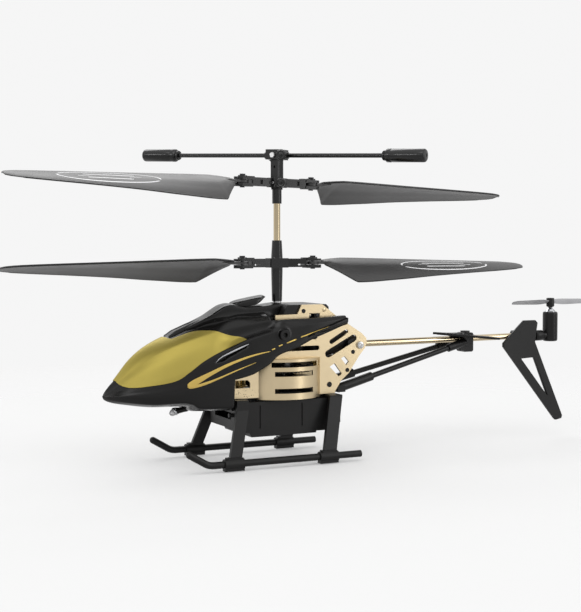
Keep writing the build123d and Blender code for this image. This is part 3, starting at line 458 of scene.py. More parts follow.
GE_Y = [(-61.6, 0.0), (-60.6, 1.3), (-58.0, 3.2), (-54.6, 5.5), (-50.0, 8.0), (-46.0, 9.7), (-42.0, 11.0), (-38.0, 11.9), (-33.5, 12.6), (-28.2, 13.1), (-20.7, 13.3),
        (-10.0, 13.5), (5.0, 13.6), (19.7, 13.1)]
GE_Z = [(-61.6, 24.0), (-60.6, 24.5), (-58.0, 25.7), (-54.6, 26.9), (-50.0, 28.2), (-46.0, 29.2), (-42.0, 30.3), (-37.0, 32.0), (-33.5, 33.5),
        (-28.2, 36.0), (-20.7, 39.6), (-16.9, 41.2), (-12.0, 42.7), (-4.0, 44.6), (6.0, 46.0), (19.7, 47.7)]
WI_Y = [(-61.6, 0.0), (-60.6, 2.0), (-58.0, 4.6), (-54.0, 7.2), (-49.0, 9.6), (-43.0, 11.4), (-36.0, 12.8), (-29.0, 13.6), (-22.0, 13.9), (-5.0, 13.9), (19.7, 13.3)]
WI_Z = [(-61.6, 23.95), (-60.6, 24.1), (-54.0, 24.2), (-49.0, 24.4), (-43.0, 25.1), (-36.0, 26.3), (-29.0, 27.7), (-21.8, 28.8), (-15.2, 30.3), (-12.0, 31.9), (-9.5, 33.2),
        (-5.6, 36.3), (0.3, 38.2), (6.9, 41.2), (12.9, 43.3), (19.7, 45.8)]
CH_Y = [(-61.6, 0.0), (-60.4, 1.9), (-53.4, 6.2), (-46.8, 9.2), (-38.5, 11.3), (-34.0, 11.9), (-21.8, 12.9)]
CH_Z = [(-61.6, 23.9), (-60.4, 23.3), (-53.4, 22.1), (-46.8, 21.6), (-38.5, 21.9), (-35.0, 21.2), (-33.0, 19.9), (-21.8, 19.4)]
NROWS = 10


CACHE = {}


def control(x):
    """The section's control points (y, z) from the ridge to the keel at a station."""
    x = round(x, 4)
    if x not in CACHE:
        CACHE[x] = control_points(x)
    return CACHE[x]


def control_points(x):
    zr, zk = table(RIDGE, x), table(KEEL, x)
    s, g, w = (table(SH_Y, x), table(SH_Z, x)), (table(GE_Y, x), table(GE_Z, x)), (table(WI_Y, x), table(WI_Z, x))
    c = (table(CH_Y, x), table(CH_Z, x))
    k = smooth((x + 29.0) / 8.0)                    # nose panels, then the hollow under the shoulder
    a = smooth((x + 9.0) / 6.0)                     # and the flat-topped arms
    p1 = (0.34 * s[0], lerp(zr, s[1], lerp(0.16, 0.07, k)))
    p2 = (0.72 * s[0], lerp(zr, s[1], lerp(0.55, 0.44, k)))
    n4, h4, a4 = (lerp(s[0], g[0], 0.56), lerp(s[1], g[1], 0.42)), (lerp(s[0], g[0], 0.14), lerp(s[1], g[1], 0.62)), (12.5, s[1] - 0.12)
    p4 = tuple(lerp(lerp(u, v, k), t, a) for u, v, t in zip(n4, h4, a4))
    p6 = (lerp(g[0], w[0], 0.60), lerp(g[1], w[1], 0.5))
    p8b = (0.55 * c[0], lerp(c[1], zk, 0.80))
    return [(0.0, zr), p1, p2, s, p4, g, p6, w, c, p8b, (0.0, zk)]


CORNER = {3: 0.16, 5: 0.10, 8: 0.14}       # rows with a crease, and how far its rounding reaches into the next rows


def surf(x, t):
    """A point (y, z) on the outer surface; t runs over the rows, 0 at the ridge and 10 at the keel."""
    P = control(x)
    t = min(max(t, 0.0), 10.0)
    i = min(int(t), 9)
    u = t - i

    def seg(i, u):
        p1, p2 = P[i], P[i + 1]
        p0 = P[i - 1] if i > 0 else (-P[1][0], P[1][1])
        p3 = P[i + 2] if i < 9 else (-P[9][0], P[9][1])
        if i in CORNER:
            p0 = (2 * p1[0] - p2[0], 2 * p1[1] - p2[1])
        if i + 1 in CORNER:
            p3 = (2 * p2[0] - p1[0], 2 * p2[1] - p1[1])
        return (catmull(p0[0], p1[0], p2[0], p3[0], u), catmull(p0[1], p1[1], p2[1], p3[1], u))
    for r, w in CORNER.items():
        if abs(t - r) < w:
            q = (t - r + w) / (2 * w)
            a, b = seg(r - 1, 1 - w), seg(r, w)
            m = P[r]
            return ((1 - q) ** 2 * a[0] + 2 * q * (1 - q) * m[0] + q * q * b[0], (1 - q) ** 2 * a[1] + 2 * q * (1 - q) * m[1] + q * q * b[1])
    return seg(i, u)


def surf3(x, t, side=-1, off=0.0):
    y, z = surf(x, t)
    if off:
        e = 0.05
        tu, td = min(t + e, 10.0), max(t - e, 0.0)
        a, b = surf(x, td), surf(x, tu)
        c, d = surf(max(x - 0.4, -61.6), t), surf(min(x + 0.4, 19.7), t)
        du = Vector((0, b[0] - a[0], b[1] - a[1]))
        dx = Vector((min(x + 0.4, 19.7) - max(x - 0.4, -61.6), d[0] - c[0], d[1] - c[1]))
        n = du.cross(dx)
        if t == 0.0:
            n = Vector((dx[2] * -1, 0, dx[0]))
        if n.length > 1e-9:
            n.normalize()
            if n[1] < -1e-6 and t > 0.3:
                n = -n
            if t <= 0.3 and n[2] < 0:
                n = -n
            return (x + n[0] * off, side * (y + n[1] * off), z + n[2] * off)
    return (x, side * y, z)


def row_at(x, z, lo=3.0, hi=7.0):
    for _ in range(22):
        mid = 0.5 * (lo + hi)
        if surf(x, mid)[1] > z:
            lo = mid
        else:
            hi = mid
    return 0.5 * (lo + hi)


def row_at_y(x, y, lo=0.0, hi=5.0):
    for _ in range(22):
        mid = 0.5 * (lo + hi)
        if surf(x, mid)[0] < y:
            lo = mid
        else:
            hi = mid
    return 0.5 * (lo + hi)


def seg_dist(p, a, b):
    ax, az, bx, bz = a[0], a[1], b[0], b[1]
    dx, dz = bx - ax, bz - az
    t = max(0.0, min(1.0, ((p[0] - ax) * dx + (p[1] - az) * dz) / (dx * dx + dz * dz)))
    return math.hypot(p[0] - ax - t * dx, p[1] - az - t * dz)


def inside(p, poly):
    c, j = False, len(poly) - 1
    for i in range(len(poly)):
        if (poly[i][1] > p[1]) != (poly[j][1] > p[1]) and p[0] < (poly[j][0] - poly[i][0]) * (p[1] - poly[i][1]) / (poly[j][1] - poly[i][1]) + poly[i][0]:
            c = not c
        j = i
    return c


def depth_in(p, poly, w):
    """0 outside a polygon, rising to 1 at w inside it."""
    if not inside(p, poly):
        return 0.0
    d = min(seg_dist(p, poly[i], poly[(i + 1) % len(poly)]) for i in range(len(poly)))
    return smooth(d / w)


SLIT = [(-28.4, 34.3), (-27.2, 36.0), (-23.3, 37.9), (-16.4, 40.6), (-15.6, 40.4), (-17.0, 39.0), (-21.6, 36.7), (-25.4, 34.7)]
PEG_C = (-4.1, 43.3)


def relief(x, t, y, z):
    """Local relief of the side: the pocket of the slit and the boss round the peg."""
    d = 0.0
    if -30 < x < -14 and 3.5 < t < 7:
        d -= 1.3 * depth_in((x, z), SLIT, 0.7)
    if abs(x - PEG_C[0]) < 4 and 3.5 < t < 7:
        r = math.hypot(x - PEG_C[0], z - PEG_C[1])
        d += 0.22 * smooth((2.6 - r) / 0.7)
        d -= 0.3 * smooth((1.95 - r) / 0.4)
    return d


STEP = 0.5
T_A = [0, 0.25, 0.5, 0.75, 1, 1.25, 1.5, 1.75, 2, 2.25, 2.5, 2.7, 2.84, 2.9, 2.95, 3.0]
T_B = [3.0, 3.05, 3.1, 3.16] + [3.16 + (4.9 - 3.16) * i / 12 for i in range(1, 13)] + [4.95, 5.0, 5.05, 5.1] + [5.1 + 1.9 * i / 24 for i in range(1, 25)]
T_C = [7 + 0.86 * i / 8 for i in range(9)] + [7.9, 7.95, 8.0, 8.05, 8.1, 8.14] + [8.14 + 1.86 * i / 8 for i in range(1, 9)]
XS = [-61.6, -61.52, -61.35, -61.1, -60.8, -60.4, -60.0] + [-60.0 + STEP * i for i in range(1, 160)]
XS = [x for x in XS if x < 19.6] + [19.7]


def canopy_mesh():
    verts, faces, index = [], [], {}

    def vid(i, t, side):
        x = XS[i]
        if t in (0, 10):
            side = 0
        key = (i, round(t, 4), side)
        if key not in index:
            y, z = surf(x, t)
            dd = relief(x, t, y, z)
            p = surf3(x, t, -1 if side <= 0 else 1, dd) if abs(dd) > 1e-4 else (x, y * (side if side else 0), z)
            index[key] = len(verts)
            verts.append(p)
        return index[key]
    for side in (-1, 1):
        for i in range(len(XS) - 1):
            x0, x1 = XS[i], XS[i + 1]
            bands = []
            if x1 <= -6.9:
                bands.append(T_A)
            bands.append(T_B)
            if x1 <= -21.4:
                bands.append(T_C)
            for T in bands:
                for a, b in zip(T[:-1], T[1:]):
                    q = (vid(i, a, side), vid(i + 1, a, side), vid(i + 1, b, side), vid(i, b, side))
                    faces.append(q if side < 0 else q[::-1])
    return verts, faces


cv, cf = canopy_mesh()
canopy = make("canopy_shell", cv, cf, "airframe", "canopy_black", replaces=("canopy",))
modify(canopy, "SOLIDIFY", thickness=0.0011, offset=-1.0, use_even_offset=False, use_quality_normals=True)
bake(canopy)

# windshield: a thin moulded skin over the nose, split behind by the black spine
T_TOP = [(-41.2, 0.0), (-40.9, 0.5), (-40.4, 1.0), (-39.7, 1.48), (-37.2, 1.55), (-34.9, 1.62), (-32.8, 1.76), (-30.7, 2.02), (-28.7, 2.38), (-26.7, 2.73), (-25.7, 2.95),
         (-24.0, 3.23), (-22.1, 3.48), (-19.7, 3.83), (-18.1, 4.15), (-17.3, 4.5), (-16.9, 4.74)]
T_LOW = [(-57.95, 0.0), (-57.75, 0.5), (-57.5, 1.3), (-57.2, 2.5), (-56.8, 3.6), (-55.8, 4.5), (-54.2, 5.03), (-51.4, 5.38), (-47.9, 5.5), (-44.2, 5.6), (-42.1, 5.62), (-39.9, 5.55),
         (-36.5, 5.15), (-33.6, 4.93), (-31.9, 4.85), (-27.7, 4.77), (-24.6, 4.75), (-16.9, 4.76)]


def windshield_mesh():
    xs = [-57.95, -57.85, -57.75, -57.6, -57.4, -57.2, -57.0, -56.8, -56.4] + [-56.0 + 0.5 * i for i in range(0, 30)]
    xs += [-41.2, -41.1, -41.0, -40.9, -40.7, -40.5, -40.2, -39.9, -39.5] + [-39.0 + 0.5 * i for i in range(0, 44)] + [-17.2, -17.0, -16.9]
    n = 40
    verts, faces, index = [], [], {}

    def vid(i, j, side):
        x = xs[i]
        t0 = table(T_TOP, x) if x > -41.2 else 0.0
        t1 = table(T_LOW, x)
        t = lerp(t0, t1, j / n)
        key = (i, j, 0 if t < 0.001 else side)
        if key not in index:
            index[key] = len(verts)
            verts.append(surf3(x, t, -1 if side < 0 else 1, 0.28))
        return index[key]
    for side in (-1, 1):
        for i in range(len(xs) - 1):
            for j in range(n):
                q = (vid(i, j, side), vid(i + 1, j, side), vid(i + 1, j + 1, side), vid(i, j + 1, side))
                q = tuple(dict.fromkeys(q))
                if len(q) >= 3:
                    faces.append(q if side < 0 else q[::-1])
    return verts, faces


wv, wf = windshield_mesh()
screen = make("windshield_skin", wv, wf, "airframe", "screen_gold", replaces=("windshield",))
modify(screen, "SMOOTH", factor=0.5, iterations=2)
bake(screen)
modify(screen, "SOLIDIFY", thickness=0.0008, offset=-1.0, use_quality_normals=True)
modify(screen, "BEVEL", width=0.00022, segments=3, limit_method="ANGLE", angle_limit=math.radians(50), harden_normals=False)
bake(screen)


# decals: thin painted shapes laid on the side, as closed strips
def strip(path, side, off=0.035, sub=3, lift=0.02):
    """path rows are (x, z, half width); returns a thin closed strip following the surface."""
    pts = []
    for i in range(len(path) - 1):
        p0, p1 = path[max(i - 1, 0)], path[i]
        p2, p3 = path[i + 1], path[min(i + 2, len(path) - 1)]
        for k in range(sub):
            u = k / sub
            pts.append(tuple(catmull(p0[c], p1[c], p2[c], p3[c], u) for c in range(3)))
    pts.append(path[-1])
    rings = []
    for i, (x, z, w) in enumerate(pts):
        a, b = pts[max(i - 1, 0)], pts[min(i + 1, len(pts) - 1)]
        dx, dz = b[0] - a[0], b[1] - a[1]
        L = math.hypot(dx, dz) or 1.0
        nx, nz = -dz / L, dx / L
        w = max(w, 0.03)
        ring = []
        for s, o in ((1, 0.0), (0.9, lift), (0.0, lift), (-0.9, lift), (-1, 0.0)):
            px, pz = x + nx * w * s, z + nz * w * s
            ring.append(surf3(px, row_at(px, pz, 3.2, 7.8), side, off + o))
        px, pz = x - nx * w * 0.9, z - nz * w * 0.9
        ring.append(surf3(px, row_at(px, pz, 3.2, 7.8), side, off - 0.06))
        px, pz = x + nx * w * 0.9, z + nz * w * 0.9
        ring.append(surf3(px, row_at(px, pz, 3.2, 7.8), side, off - 0.06))
        rings.append(ring)
    return loft(rings)


def join_parts(parts):
    V, F = [], []
    for v, f in parts:
        k = len(V)
        V += v
        F += [tuple(i + k for i in q) for q in f]
    return V, F


SPEAR = [(-8.9, 37.6, 0.10), (-13.0, 36.9, 0.24), (-18.0, 35.7, 0.34), (-24.0, 33.7, 0.46), (-29.5, 31.3, 0.62), (-33.4, 29.4, 0.88), (-35.6, 28.2, 1.02), (-36.7, 27.5, 0.86),
         (-36.3, 27.15, 0.50), (-34.6, 27.35, 0.46), (-31.5, 28.15, 0.42), (-28.0, 29.3, 0.30), (-22.0, 31.5, 0.20), (-17.0, 33.2, 0.12), (-14.0, 34.2, 0.05)]
DASHES = [[(-8.4, 38.1, 0.2), (-7.2, 38.5, 0.2)], [(-5.9, 39.2, 0.2), (-4.5, 39.7, 0.2)], [(-3.0, 40.1, 0.2), (0.6, 41.3, 0.2)], [(2.2, 41.9, 0.18), (7.6, 43.5, 0.18), (13.2, 45.1, 0.14)]]
for side, nm in ((-1, "left"), (1, "right")):
    v, f = join_parts([strip(SPEAR, side)] + [strip(d, side) for d in DASHES])
    make("%s_gold_decal" % nm, v, f, "airframe", "decal_gold")
    # bright swept vane standing in the slit
    vane = []
    line = [(-28.1, 34.5, 0.12, 0.2), (-27.2, 35.5, 0.30, 0.0), (-25.6, 36.55, 0.42, -0.1), (-23.2, 37.55, 0.50, -0.1), (-20.8, 38.5, 0.50, 0.0), (-18.6, 39.4, 0.42, 0.1),
            (-16.2, 40.35, 0.16, 0.3)]
    for x, z, w, o in line:
        ring = []
        for s, h in ((1.0, 0.0), (0.5, 0.28), (0.0, 0.36), (-0.6, 0.2), (-1.0, -0.1), (-0.6, -0.5), (0.0, -0.9), (0.8, -0.6)):
            t = row_at(x, z + w * s, 3.4, 7.0)
            ring.append(surf3(x, t, side, o + h - 0.25))
        vane.append(ring)
    v, f = loft(vane)
    o = make("%s_slit_vane" % nm, v, f, "airframe", "chrome")
    modify(o, "SUBSURF", levels=2, render_levels=2)
    bake(o)

# black strip let into the ridge between the windshield and the hood
rings = []
for i in range(34):
    x = -39.9 + 16.7 * i / 33
    h = 0.55 * smooth((x + 39.9) / 2.5) * 1.0 + 0.15
    w = lerp(2.3, 1.7, i / 33)
    z = table(RIDGE, x)
    rings.append([(x, -w - 0.5, z - 1.0), (x, -w - 0.25, z + h * 0.35), (x, -w, z + h), (x, -w + 0.35, z + h + 0.08), (x, -w * 0.62, z + h - 0.28), (x, 0, z + h - 0.34),
                  (x, w * 0.62, z + h - 0.28), (x, w - 0.35, z + h + 0.08), (x, w, z + h), (x, w + 0.25, z + h * 0.35), (x, w + 0.5, z - 1.0), (x, 0, z - 1.2)])
v, f = loft(rings)
o = make("ridge_strip", v, f, "airframe", "canopy_black")
modify(o, "BEVEL", width=0.00012, segments=2, limit_method="ANGLE", angle_limit=math.radians(40))
bake(o)

# hood: the fairing in front of and round the mast, with the swept intake lip on top
F_TOP = [(-35.0, 45.0), (-31.0, 46.9), (-26.0, 49.2), (-22.5, 51.4), (-20.2, 52.6), (-18.2, 53.0), (-15.5, 52.5), (-12.5, 52.0), (-9.0, 52.2), (-6.0, 52.4), (-0.8, 52.9), (1.6, 52.8)]
F_HALF = [(-35.0, 2.6), (-30.0, 3.4), (-24.0, 4.0), (-19.0, 4.4), (1.6, 4.7)]
F_FOOT = [(-35.0, 44.5), (-31.4, 45.6), (-28.0, 46.9), (-21.2, 48.2), (-9.4, 48.7), (1.6, 48.7)]
rings = []
for i in range(76):
    x = -34.5 + 36.1 * i / 75
    zt, w, zf = table(F_TOP, x), table(F_HALF, x), table(F_FOOT, x)
    zt = max(zt, zf + 0.15)
    h = zt - zf
    e = 2.6 * smooth((-3.0 - x) / 5.0) * min(1.0, h / 2.0) + 0.05
    half = [(0.0, zt), (0.5 * w, zt - 0.02), (0.82 * w, zt - 0.05 * h), (0.94 * w, zt - 0.11 * h), (1.0 * w, zt - 0.24 * h), (0.985 * w, zt - 0.5 * h), (0.985 * w + 0.05 * e, zt - 0.72 * h),
            (w + 0.22 * e, zf + 0.12 * h), (w + 0.55 * e, zf + 0.03 * h), (w + e, zf - 0.45), (w + e, zf - 1.3)]
    ring = [(x, -y, z) for y, z in half] + [(x, y, z) for y, z in half[:0:-1]]
    rings.append(ring)
v, f = loft(rings)
hood = make("mast_hood", v, f, "airframe", "canopy_black", replaces=("roof_scoop",))
bore = [[(2.4 * math.cos(a) , 2.4 * math.sin(a), z) for a in [2 * math.pi * k / 40 for k in range(40)]] for z in (40, 60)]
c1 = scratch("bore", *loft(bore))
slot = scratch("slot", *loft([[(-20, -3.2, 40), (-20, 3.2, 40), (6, 3.2, 40), (6, -3.2, 40)], [(-20, -3.2, 51.2), (-20, 3.2, 51.2), (6, 3.2, 51.2), (6, -3.2, 51.2)]]))
cut(hood, [c1, slot])
modify(hood, "BEVEL", width=0.00022, segments=2, limit_method="ANGLE", angle_limit=math.radians(38))
bake(hood)

# intake lip: a curved plate rising and narrowing towards its swept-back tip, hollow below
rings = []
N = 26
for i in range(N):
    u = i / (N - 1)
    x = lerp(-17.6, -5.9, u)
    zt = table([(0.0, 52.7), (0.12, 53.6), (0.5, 54.6), (1.0, 55.6)], u)
    w = table([(0.0, 1.2), (0.10, 2.9), (0.3, 3.9), (0.7, 4.0), (1.0, 3.2)], u)
    zb = table([(0.0, 52.2), (0.3, 52.1), (0.62, 52.3), (0.8, 53.2), (1.0, 55.0)], u)
    th = 0.45
    xb = x - 0.5 * u
    out = [(0, zt), (0.45 * w, zt - 0.06), (0.8 * w, zt - 0.3), (0.97 * w, zt - 0.75), (w, lerp(zt, zb, 0.5)), (w + 0.15, zb)]
    inn = [(w + 0.15 - th, zb), (w - th, lerp(zt, zb, 0.5)), (0.97 * w - th, max(zt - 1.0, zb + 0.1)), (0.78 * w - 0.3 * th, max(zt - 0.7, zb + 0.15)), (0.44 * w, max(zt - th, zb + 0.2)), (0, max(zt - th, zb + 0.22))]
    ring = [(x, -y, z) for y, z in out] + [(xb, -y, z) for y, z in inn] + [(xb, y, z) for y, z in inn[-2::-1]] + [(x, y, z) for y, z in out[:0:-1]]
    rings.append(ring)
v, f = loft(rings)
lip = make("intake_lip", v, f, "airframe", "canopy_black")
modify(lip, "BEVEL", width=0.00012, segments=2, limit_method="ANGLE", angle_limit=math.radians(45))
bake(lip)

# ---------------------------------------------------------------------------------------------------
# rotors
# ---------------------------------------------------------------------------------------------------
UP_Z, LOW_Z, FLY_Z, HINGE_R, LINK_TP = 93.3, 66.3, 102.5, 13.2, 2.75
TEETER = math.radians(35.4)
T_AX = Vector((math.cos(TEETER), math.sin(TEETER), 0.0))
TILT = math.radians(2.0)
TAU = 2 * math.pi
BLADE = [(17.0, 1.9, -2.7, 18.0, 0.95), (18.6, 2.2, -4.9, 22.0, 0.9), (20.6, 2.5, -7.6, 25.0, 0.9), (22.8, 2.8, -10.8, 27.0, 0.85), (24.9, 3.1, -13.6, 27.5, 0.8),
         (40.0, 3.2, -13.3, 23.5, 0.75), (55.0, 3.2, -12.2, 19.0, 0.7), (70.0, 3.1, -10.6, 15.8, 0.65), (82.0, 2.9, -9.2, 13.3, 0.6),
         (90.0, 2.4, -7.6, 11.6, 0.55), (93.6, 1.2, -6.0, 11.0, 0.5), (94.9, -0.6, -4.2, 11.0, 0.45)]


def blade_col(i):
    return [(b[0], b[i]) for b in BLADE]


def blade_pt(r, f, h, hand):
    """A point of the blade: r along the span, f 0 to 1 from the leading edge, h in units of half the thickness."""
    le, te, pitch, th = (table(blade_col(i), r) for i in (1, 2, 3, 4))
    # the corner at the widest station is drawn with a small radius
    c = le - te
    cam = 0.06 * c
    y = le - f * c
    bulge = 4 * f * (1 - f) * (0.85 if f > 0.5 else 1.0)
    t = th * 0.5 * (0.34 + 0.66 * math.sin(math.pi * min(1.0, max(0.0, 0.06 + 0.9 * f))) ** 0.6)
    t += 0.16 * math.exp(-(f / 0.05) ** 2)
    z = cam * bulge + h * t
    a = math.radians(pitch)
    return (r, hand * (y * math.cos(a) - z * math.sin(a)), y * math.sin(a) + z * math.cos(a) - 0.012 * (r - 18))


def place(v, matrix):
    return [tuple(matrix @ Vector(p)) for p in v]


def revolve(profile, n=40):
    """profile rows are (radius, z); returns a closed lathe skin."""
    v, f = [], []
    for r, z in profile:
        for k in range(n):
            a = TAU * k / n
            v.append((r * math.cos(a), r * math.sin(a), z))
    m = len(profile)
    for i in range(m):
        for k in range(n):
            a, b = i * n + k, i * n + (k + 1) % n
            c, d = ((i + 1) % m) * n + (k + 1) % n, ((i + 1) % m) * n + k
            f.append((a, b, c, d))
    return v, f


def turned(profile, n=40):
    """A solid of revolution whose profile starts and ends on the axis."""
    v, f = [], []
    for r, z in profile:
        if r < 1e-6:
            v.append((0.0, 0.0, z))
        else:
            v += [(r * math.cos(TAU * k / n), r * math.sin(TAU * k / n), z) for k in range(n)]
    idx, pos = [], 0
    for r, z in profile:
        idx.append((pos, r < 1e-6))
        pos += 1 if r < 1e-6 else n
    for (a, pa), (b, pb) in zip(idx[:-1], idx[1:]):
        for k in range(n):
            k2 = (k + 1) % n
            if pa and pb:
                continue
            if pa:
                f.append((a, b + k2, b + k))
            elif pb:
                f.append((a + k, a + k2, b))
            else:
                f.append((a + k, a + k2, b + k2, b + k))
    return v, f


def along_axis(p, d):
    """Matrix taking local z to direction d at point p."""
    q = Vector((0, 0, 1)).rotation_difference(Vector(d).normalized())
    return Matrix.Translation(Vector(p)) @ q.to_matrix().to_4x4()


F_TOP_ROW = [0.0, 0.012, 0.035, 0.07, 0.12, 0.2, 0.3, 0.4, 0.5, 0.6, 0.7, 0.8, 0.88, 0.94, 0.975, 0.992, 1.0]


def blade_mesh(hand):
    rs = [17.0, 17.3, 17.8, 18.4, 19.0] + [19.0 + 0.6 * i for i in range(1, 9)] + [24.2, 24.6, 24.8, 24.9, 25.1, 25.5, 26.2, 27.2] + [28.2 + 2.0 * i for i in range(0, 31)] + [
        89.4, 90.4, 91.2, 92.0, 92.6, 93.1, 93.5, 93.9, 94.3, 94.6, 94.8, 94.9]
    rings = []
    for r in rs:
        ring = [blade_pt(r, f, 1.0, hand) for f in F_TOP_ROW] + [blade_pt(r, f, -1.0, hand) for f in F_TOP_ROW[::-1]]
        rings.append(ring)
    parts = [loft(rings)]
    # root: eye round the pin, and a tapering neck with a stiffening rib into the blade
    v, f = revolve([(0.58, -0.55), (2.0, -0.55), (2.1, -0.45), (2.1, 0.45), (2.0, 0.55), (0.58, 0.55)], 36)
    parts.append((place(v, Matrix.Translation((HINGE_R, 0, 0))), f))
    neck = []
    for x, w, h in ((14.6, 1.75, 0.50), (16.2, 1.7, 0.50), (17.2, 1.8, 0.48), (18.2, 1.9, 0.42), (19.4, 1.6, 0.30), (21.0, 0.9, 0.15)):
        cz = -0.012 * (x - 18) + (0.0 if x < 17.5 else 0.12 * (x - 17.5))
        neck.append([(x, w, cz - h * 0.7), (x, w * 0.9, cz - h), (x, -w * 0.9, cz - h), (x, -w, cz - h * 0.7), (x, -w, cz + h * 0.7), (x, -w * 0.9, cz + h), (x, w * 0.9, cz + h), (x, w, cz + h * 0.7)])
    parts.append(loft(neck))
    return join_parts(parts)


def blade_frame(direction, upper):
    z = UP_Z if upper else LOW_Z
    m = Matrix.Translation((0, 0, z)) @ Matrix.Rotation(math.radians(direction), 4, "Z")
    if upper:
        m = Matrix.Translation((0, 0, z)) @ Matrix.Rotation(TILT, 4, T_AX) @ Matrix.Translation((0, 0, -z)) @ m
    return m


def blade_print(hand):
    """A plain oval outline with three short bars, printed on the upper face."""
    parts = []

    def at(r, y, lift):
        le, te = table(blade_col(1), r), table(blade_col(2), r)
        f = min(0.98, max(0.02, (le - y) / (le - te)))
        p, q, s = Vector(blade_pt(r, f, 1.0, hand)), Vector(blade_pt(r + 0.3, f, 1.0, hand)), Vector(blade_pt(r, min(f + 0.02, 1.0), 1.0, hand))
        n = (q - p).cross(s - p)
        n.normalize()
        if n.z < 0:
            n = -n
        return tuple(p + n * lift)
    cx, cy, ra, rb, w = 62.0, -4.6, 17.0, 4.3, 0.30
    inner, outer = [], []
    v, f = [], []
    n = 96
    for k in range(n):
        a = TAU * k / n
        for s, lift in ((w, -0.03), (w, 0.035), (-w, 0.035), (-w, -0.03)):
            v.append(at(cx + (ra + s) * math.cos(a), cy + (rb + s) * math.sin(a), lift))
    for k in range(n):
        a, b = 4 * k, 4 * ((k + 1) % n)
        for j in range(4):
            f.append((a + j, b + j, b + (j + 1) % 4, a + (j + 1) % 4))
    parts.append((v, f))
    for x0, x1, y in ((53.5, 70.5, -3.4), (51.5, 72.5, -4.7), (54.5, 69.5, -6.0)):
        rings = []
        m = 12
        for k in range(m + 1):
            x = lerp(x0, x1, k / m)
            rings.append([at(x, y + 0.26, -0.03), at(x, y + 0.26, 0.03), at(x, y - 0.26, 0.03), at(x, y - 0.26, -0.03)])
        parts.append(loft(rings))
    return join_parts(parts)


def blade_edges(hand):
    """The rolled leading edge and the thin trailing edge, a shade darker than the skin."""
    parts = []
    for f0, rr in ((0.0, 0.40), (1.0, 0.26)):
        rings = []
        for r in [17.4, 18.2, 19.2, 20.4, 21.6, 22.8, 23.8, 24.6, 25.0, 25.6, 26.6] + [28.0 + 2.5 * i for i in range(0, 25)] + [89.6, 91.0, 92.2, 93.2, 93.8, 94.3]:
            c = blade_pt(r, f0, 0.0, hand)
            w = rr * (0.55 if r > 90 else 1.0)
            rings.append([(r, c[1] + w * math.cos(TAU * k / 10), c[2] + w * 0.9 * math.sin(TAU * k / 10)) for k in range(10)])
        parts.append(loft(rings))
    return join_parts(parts)


for nm, d, hand, upper in (("upper_nose_blade", 184.25, -1, True), ("upper_tail_blade", 2.8, -1, True), ("lower_nose_blade", 183.45, 1, False), ("lower_tail_blade", -3.7, 1, False)):
    mtx = blade_frame(d, upper)
    v, f = blade_mesh(hand)
    make(nm + "_skin", place(v, mtx), f, nm, "blade", replaces=(nm,), sharp=38)
    v, f = blade_edges(hand)
    make(nm + "_edge", place(v, mtx), f, nm, "gloss", sharp=60)
    v, f = blade_print(hand)
    make(nm + "_print", place(v, mtx), f, nm, "print_white")

# flybar weights: turned slugs with a collar at the inner end
for sg, nm in ((1, "near"), (-1, "far")):
    prof = [(0.78, -14.8), (1.5, -14.8), (1.66, -14.6), (1.66, -14.1), (1.5, -13.95), (1.52, -13.75), (2.1, -13.5), (2.24, -13.2), (2.24, -12.1), (2.06, -11.95), (2.06, -11.7), (2.18, -11.5),
            (2.18, -0.7), (2.1, -0.35), (1.85, -0.08), (1.5, 0.0), (0.7, 0.0), (0.6, -0.15)]
    v, f = turned([(0.0, -14.4), (0.6, -14.4)] + prof + [(0.0, -0.15)], 48)
    d = Vector((math.cos(TEETER - math.pi / 2), math.sin(TEETER - math.pi / 2), 0)) * sg
    base = along_axis(d * 54.15, d)
    m = Matrix.Translation((0, 0, FLY_Z)) @ Matrix.Rotation(TILT, 4, T_AX) @ base
    make(nm + "_flybar_weight", place(v, m), f, "stabilizer_bar", "gloss", replaces=("flybar_weights",), sharp=35)

# links: flat bars with a rounded eye at each end and the pin head showing in it
U_AX = Vector((math.sin(TEETER), -math.cos(TEETER), 0.0))
HEAD = Matrix((U_AX, T_AX, Vector((0, 0, 1)))).transposed().to_4x4()
for nm, sg in (("near", 1), ("far", -1)):
    u, dz = sg * 3.6 * math.cos(TILT), -sg * 3.6 * math.sin(TILT)
    t0, t1 = -sg * (LINK_TP + 0.2), -sg * (LINK_TP + 1.2)
    parts = []
    for z, re in ((UP_Z + dz, 1.62), (FLY_Z + dz, 1.85)):
        prof = [(0.46, 0.0), (re - 0.12, 0.0), (re, 0.14), (re, 0.86), (re - 0.15, 1.02), (re - 0.42, 1.04), (re - 0.5, 0.94), (0.95, 0.92), (0.86, 1.02), (0.46, 1.04)]
        v, f = revolve(prof, 40)
        parts.append((place(v, HEAD @ along_axis((u, t0, z), (0, -sg, 0))), f))
    rings = []
    for z, w in ((UP_Z + dz + 0.7, 0.72), (UP_Z + dz + 2.0, 0.62), (FLY_Z + dz - 2.2, 0.62), (FLY_Z + dz - 0.9, 0.8)):
        a, b = min(t0, t1) + 0.06, max(t0, t1) - 0.06
        ring = [(u - w, a + 0.15, z), (u - w + 0.15, a, z), (u + w - 0.15, a, z), (u + w, a + 0.15, z), (u + w, b - 0.15, z), (u + w - 0.15, b, z), (u - w + 0.15, b, z), (u - w, b - 0.15, z)]
        rings.append(place(ring, HEAD))
    parts.append(loft(rings))
    v, f = join_parts(parts)
    make(nm + "_link_skin", v, f, nm + "_link", "gloss", replaces=(nm + "_link",), sharp=40)

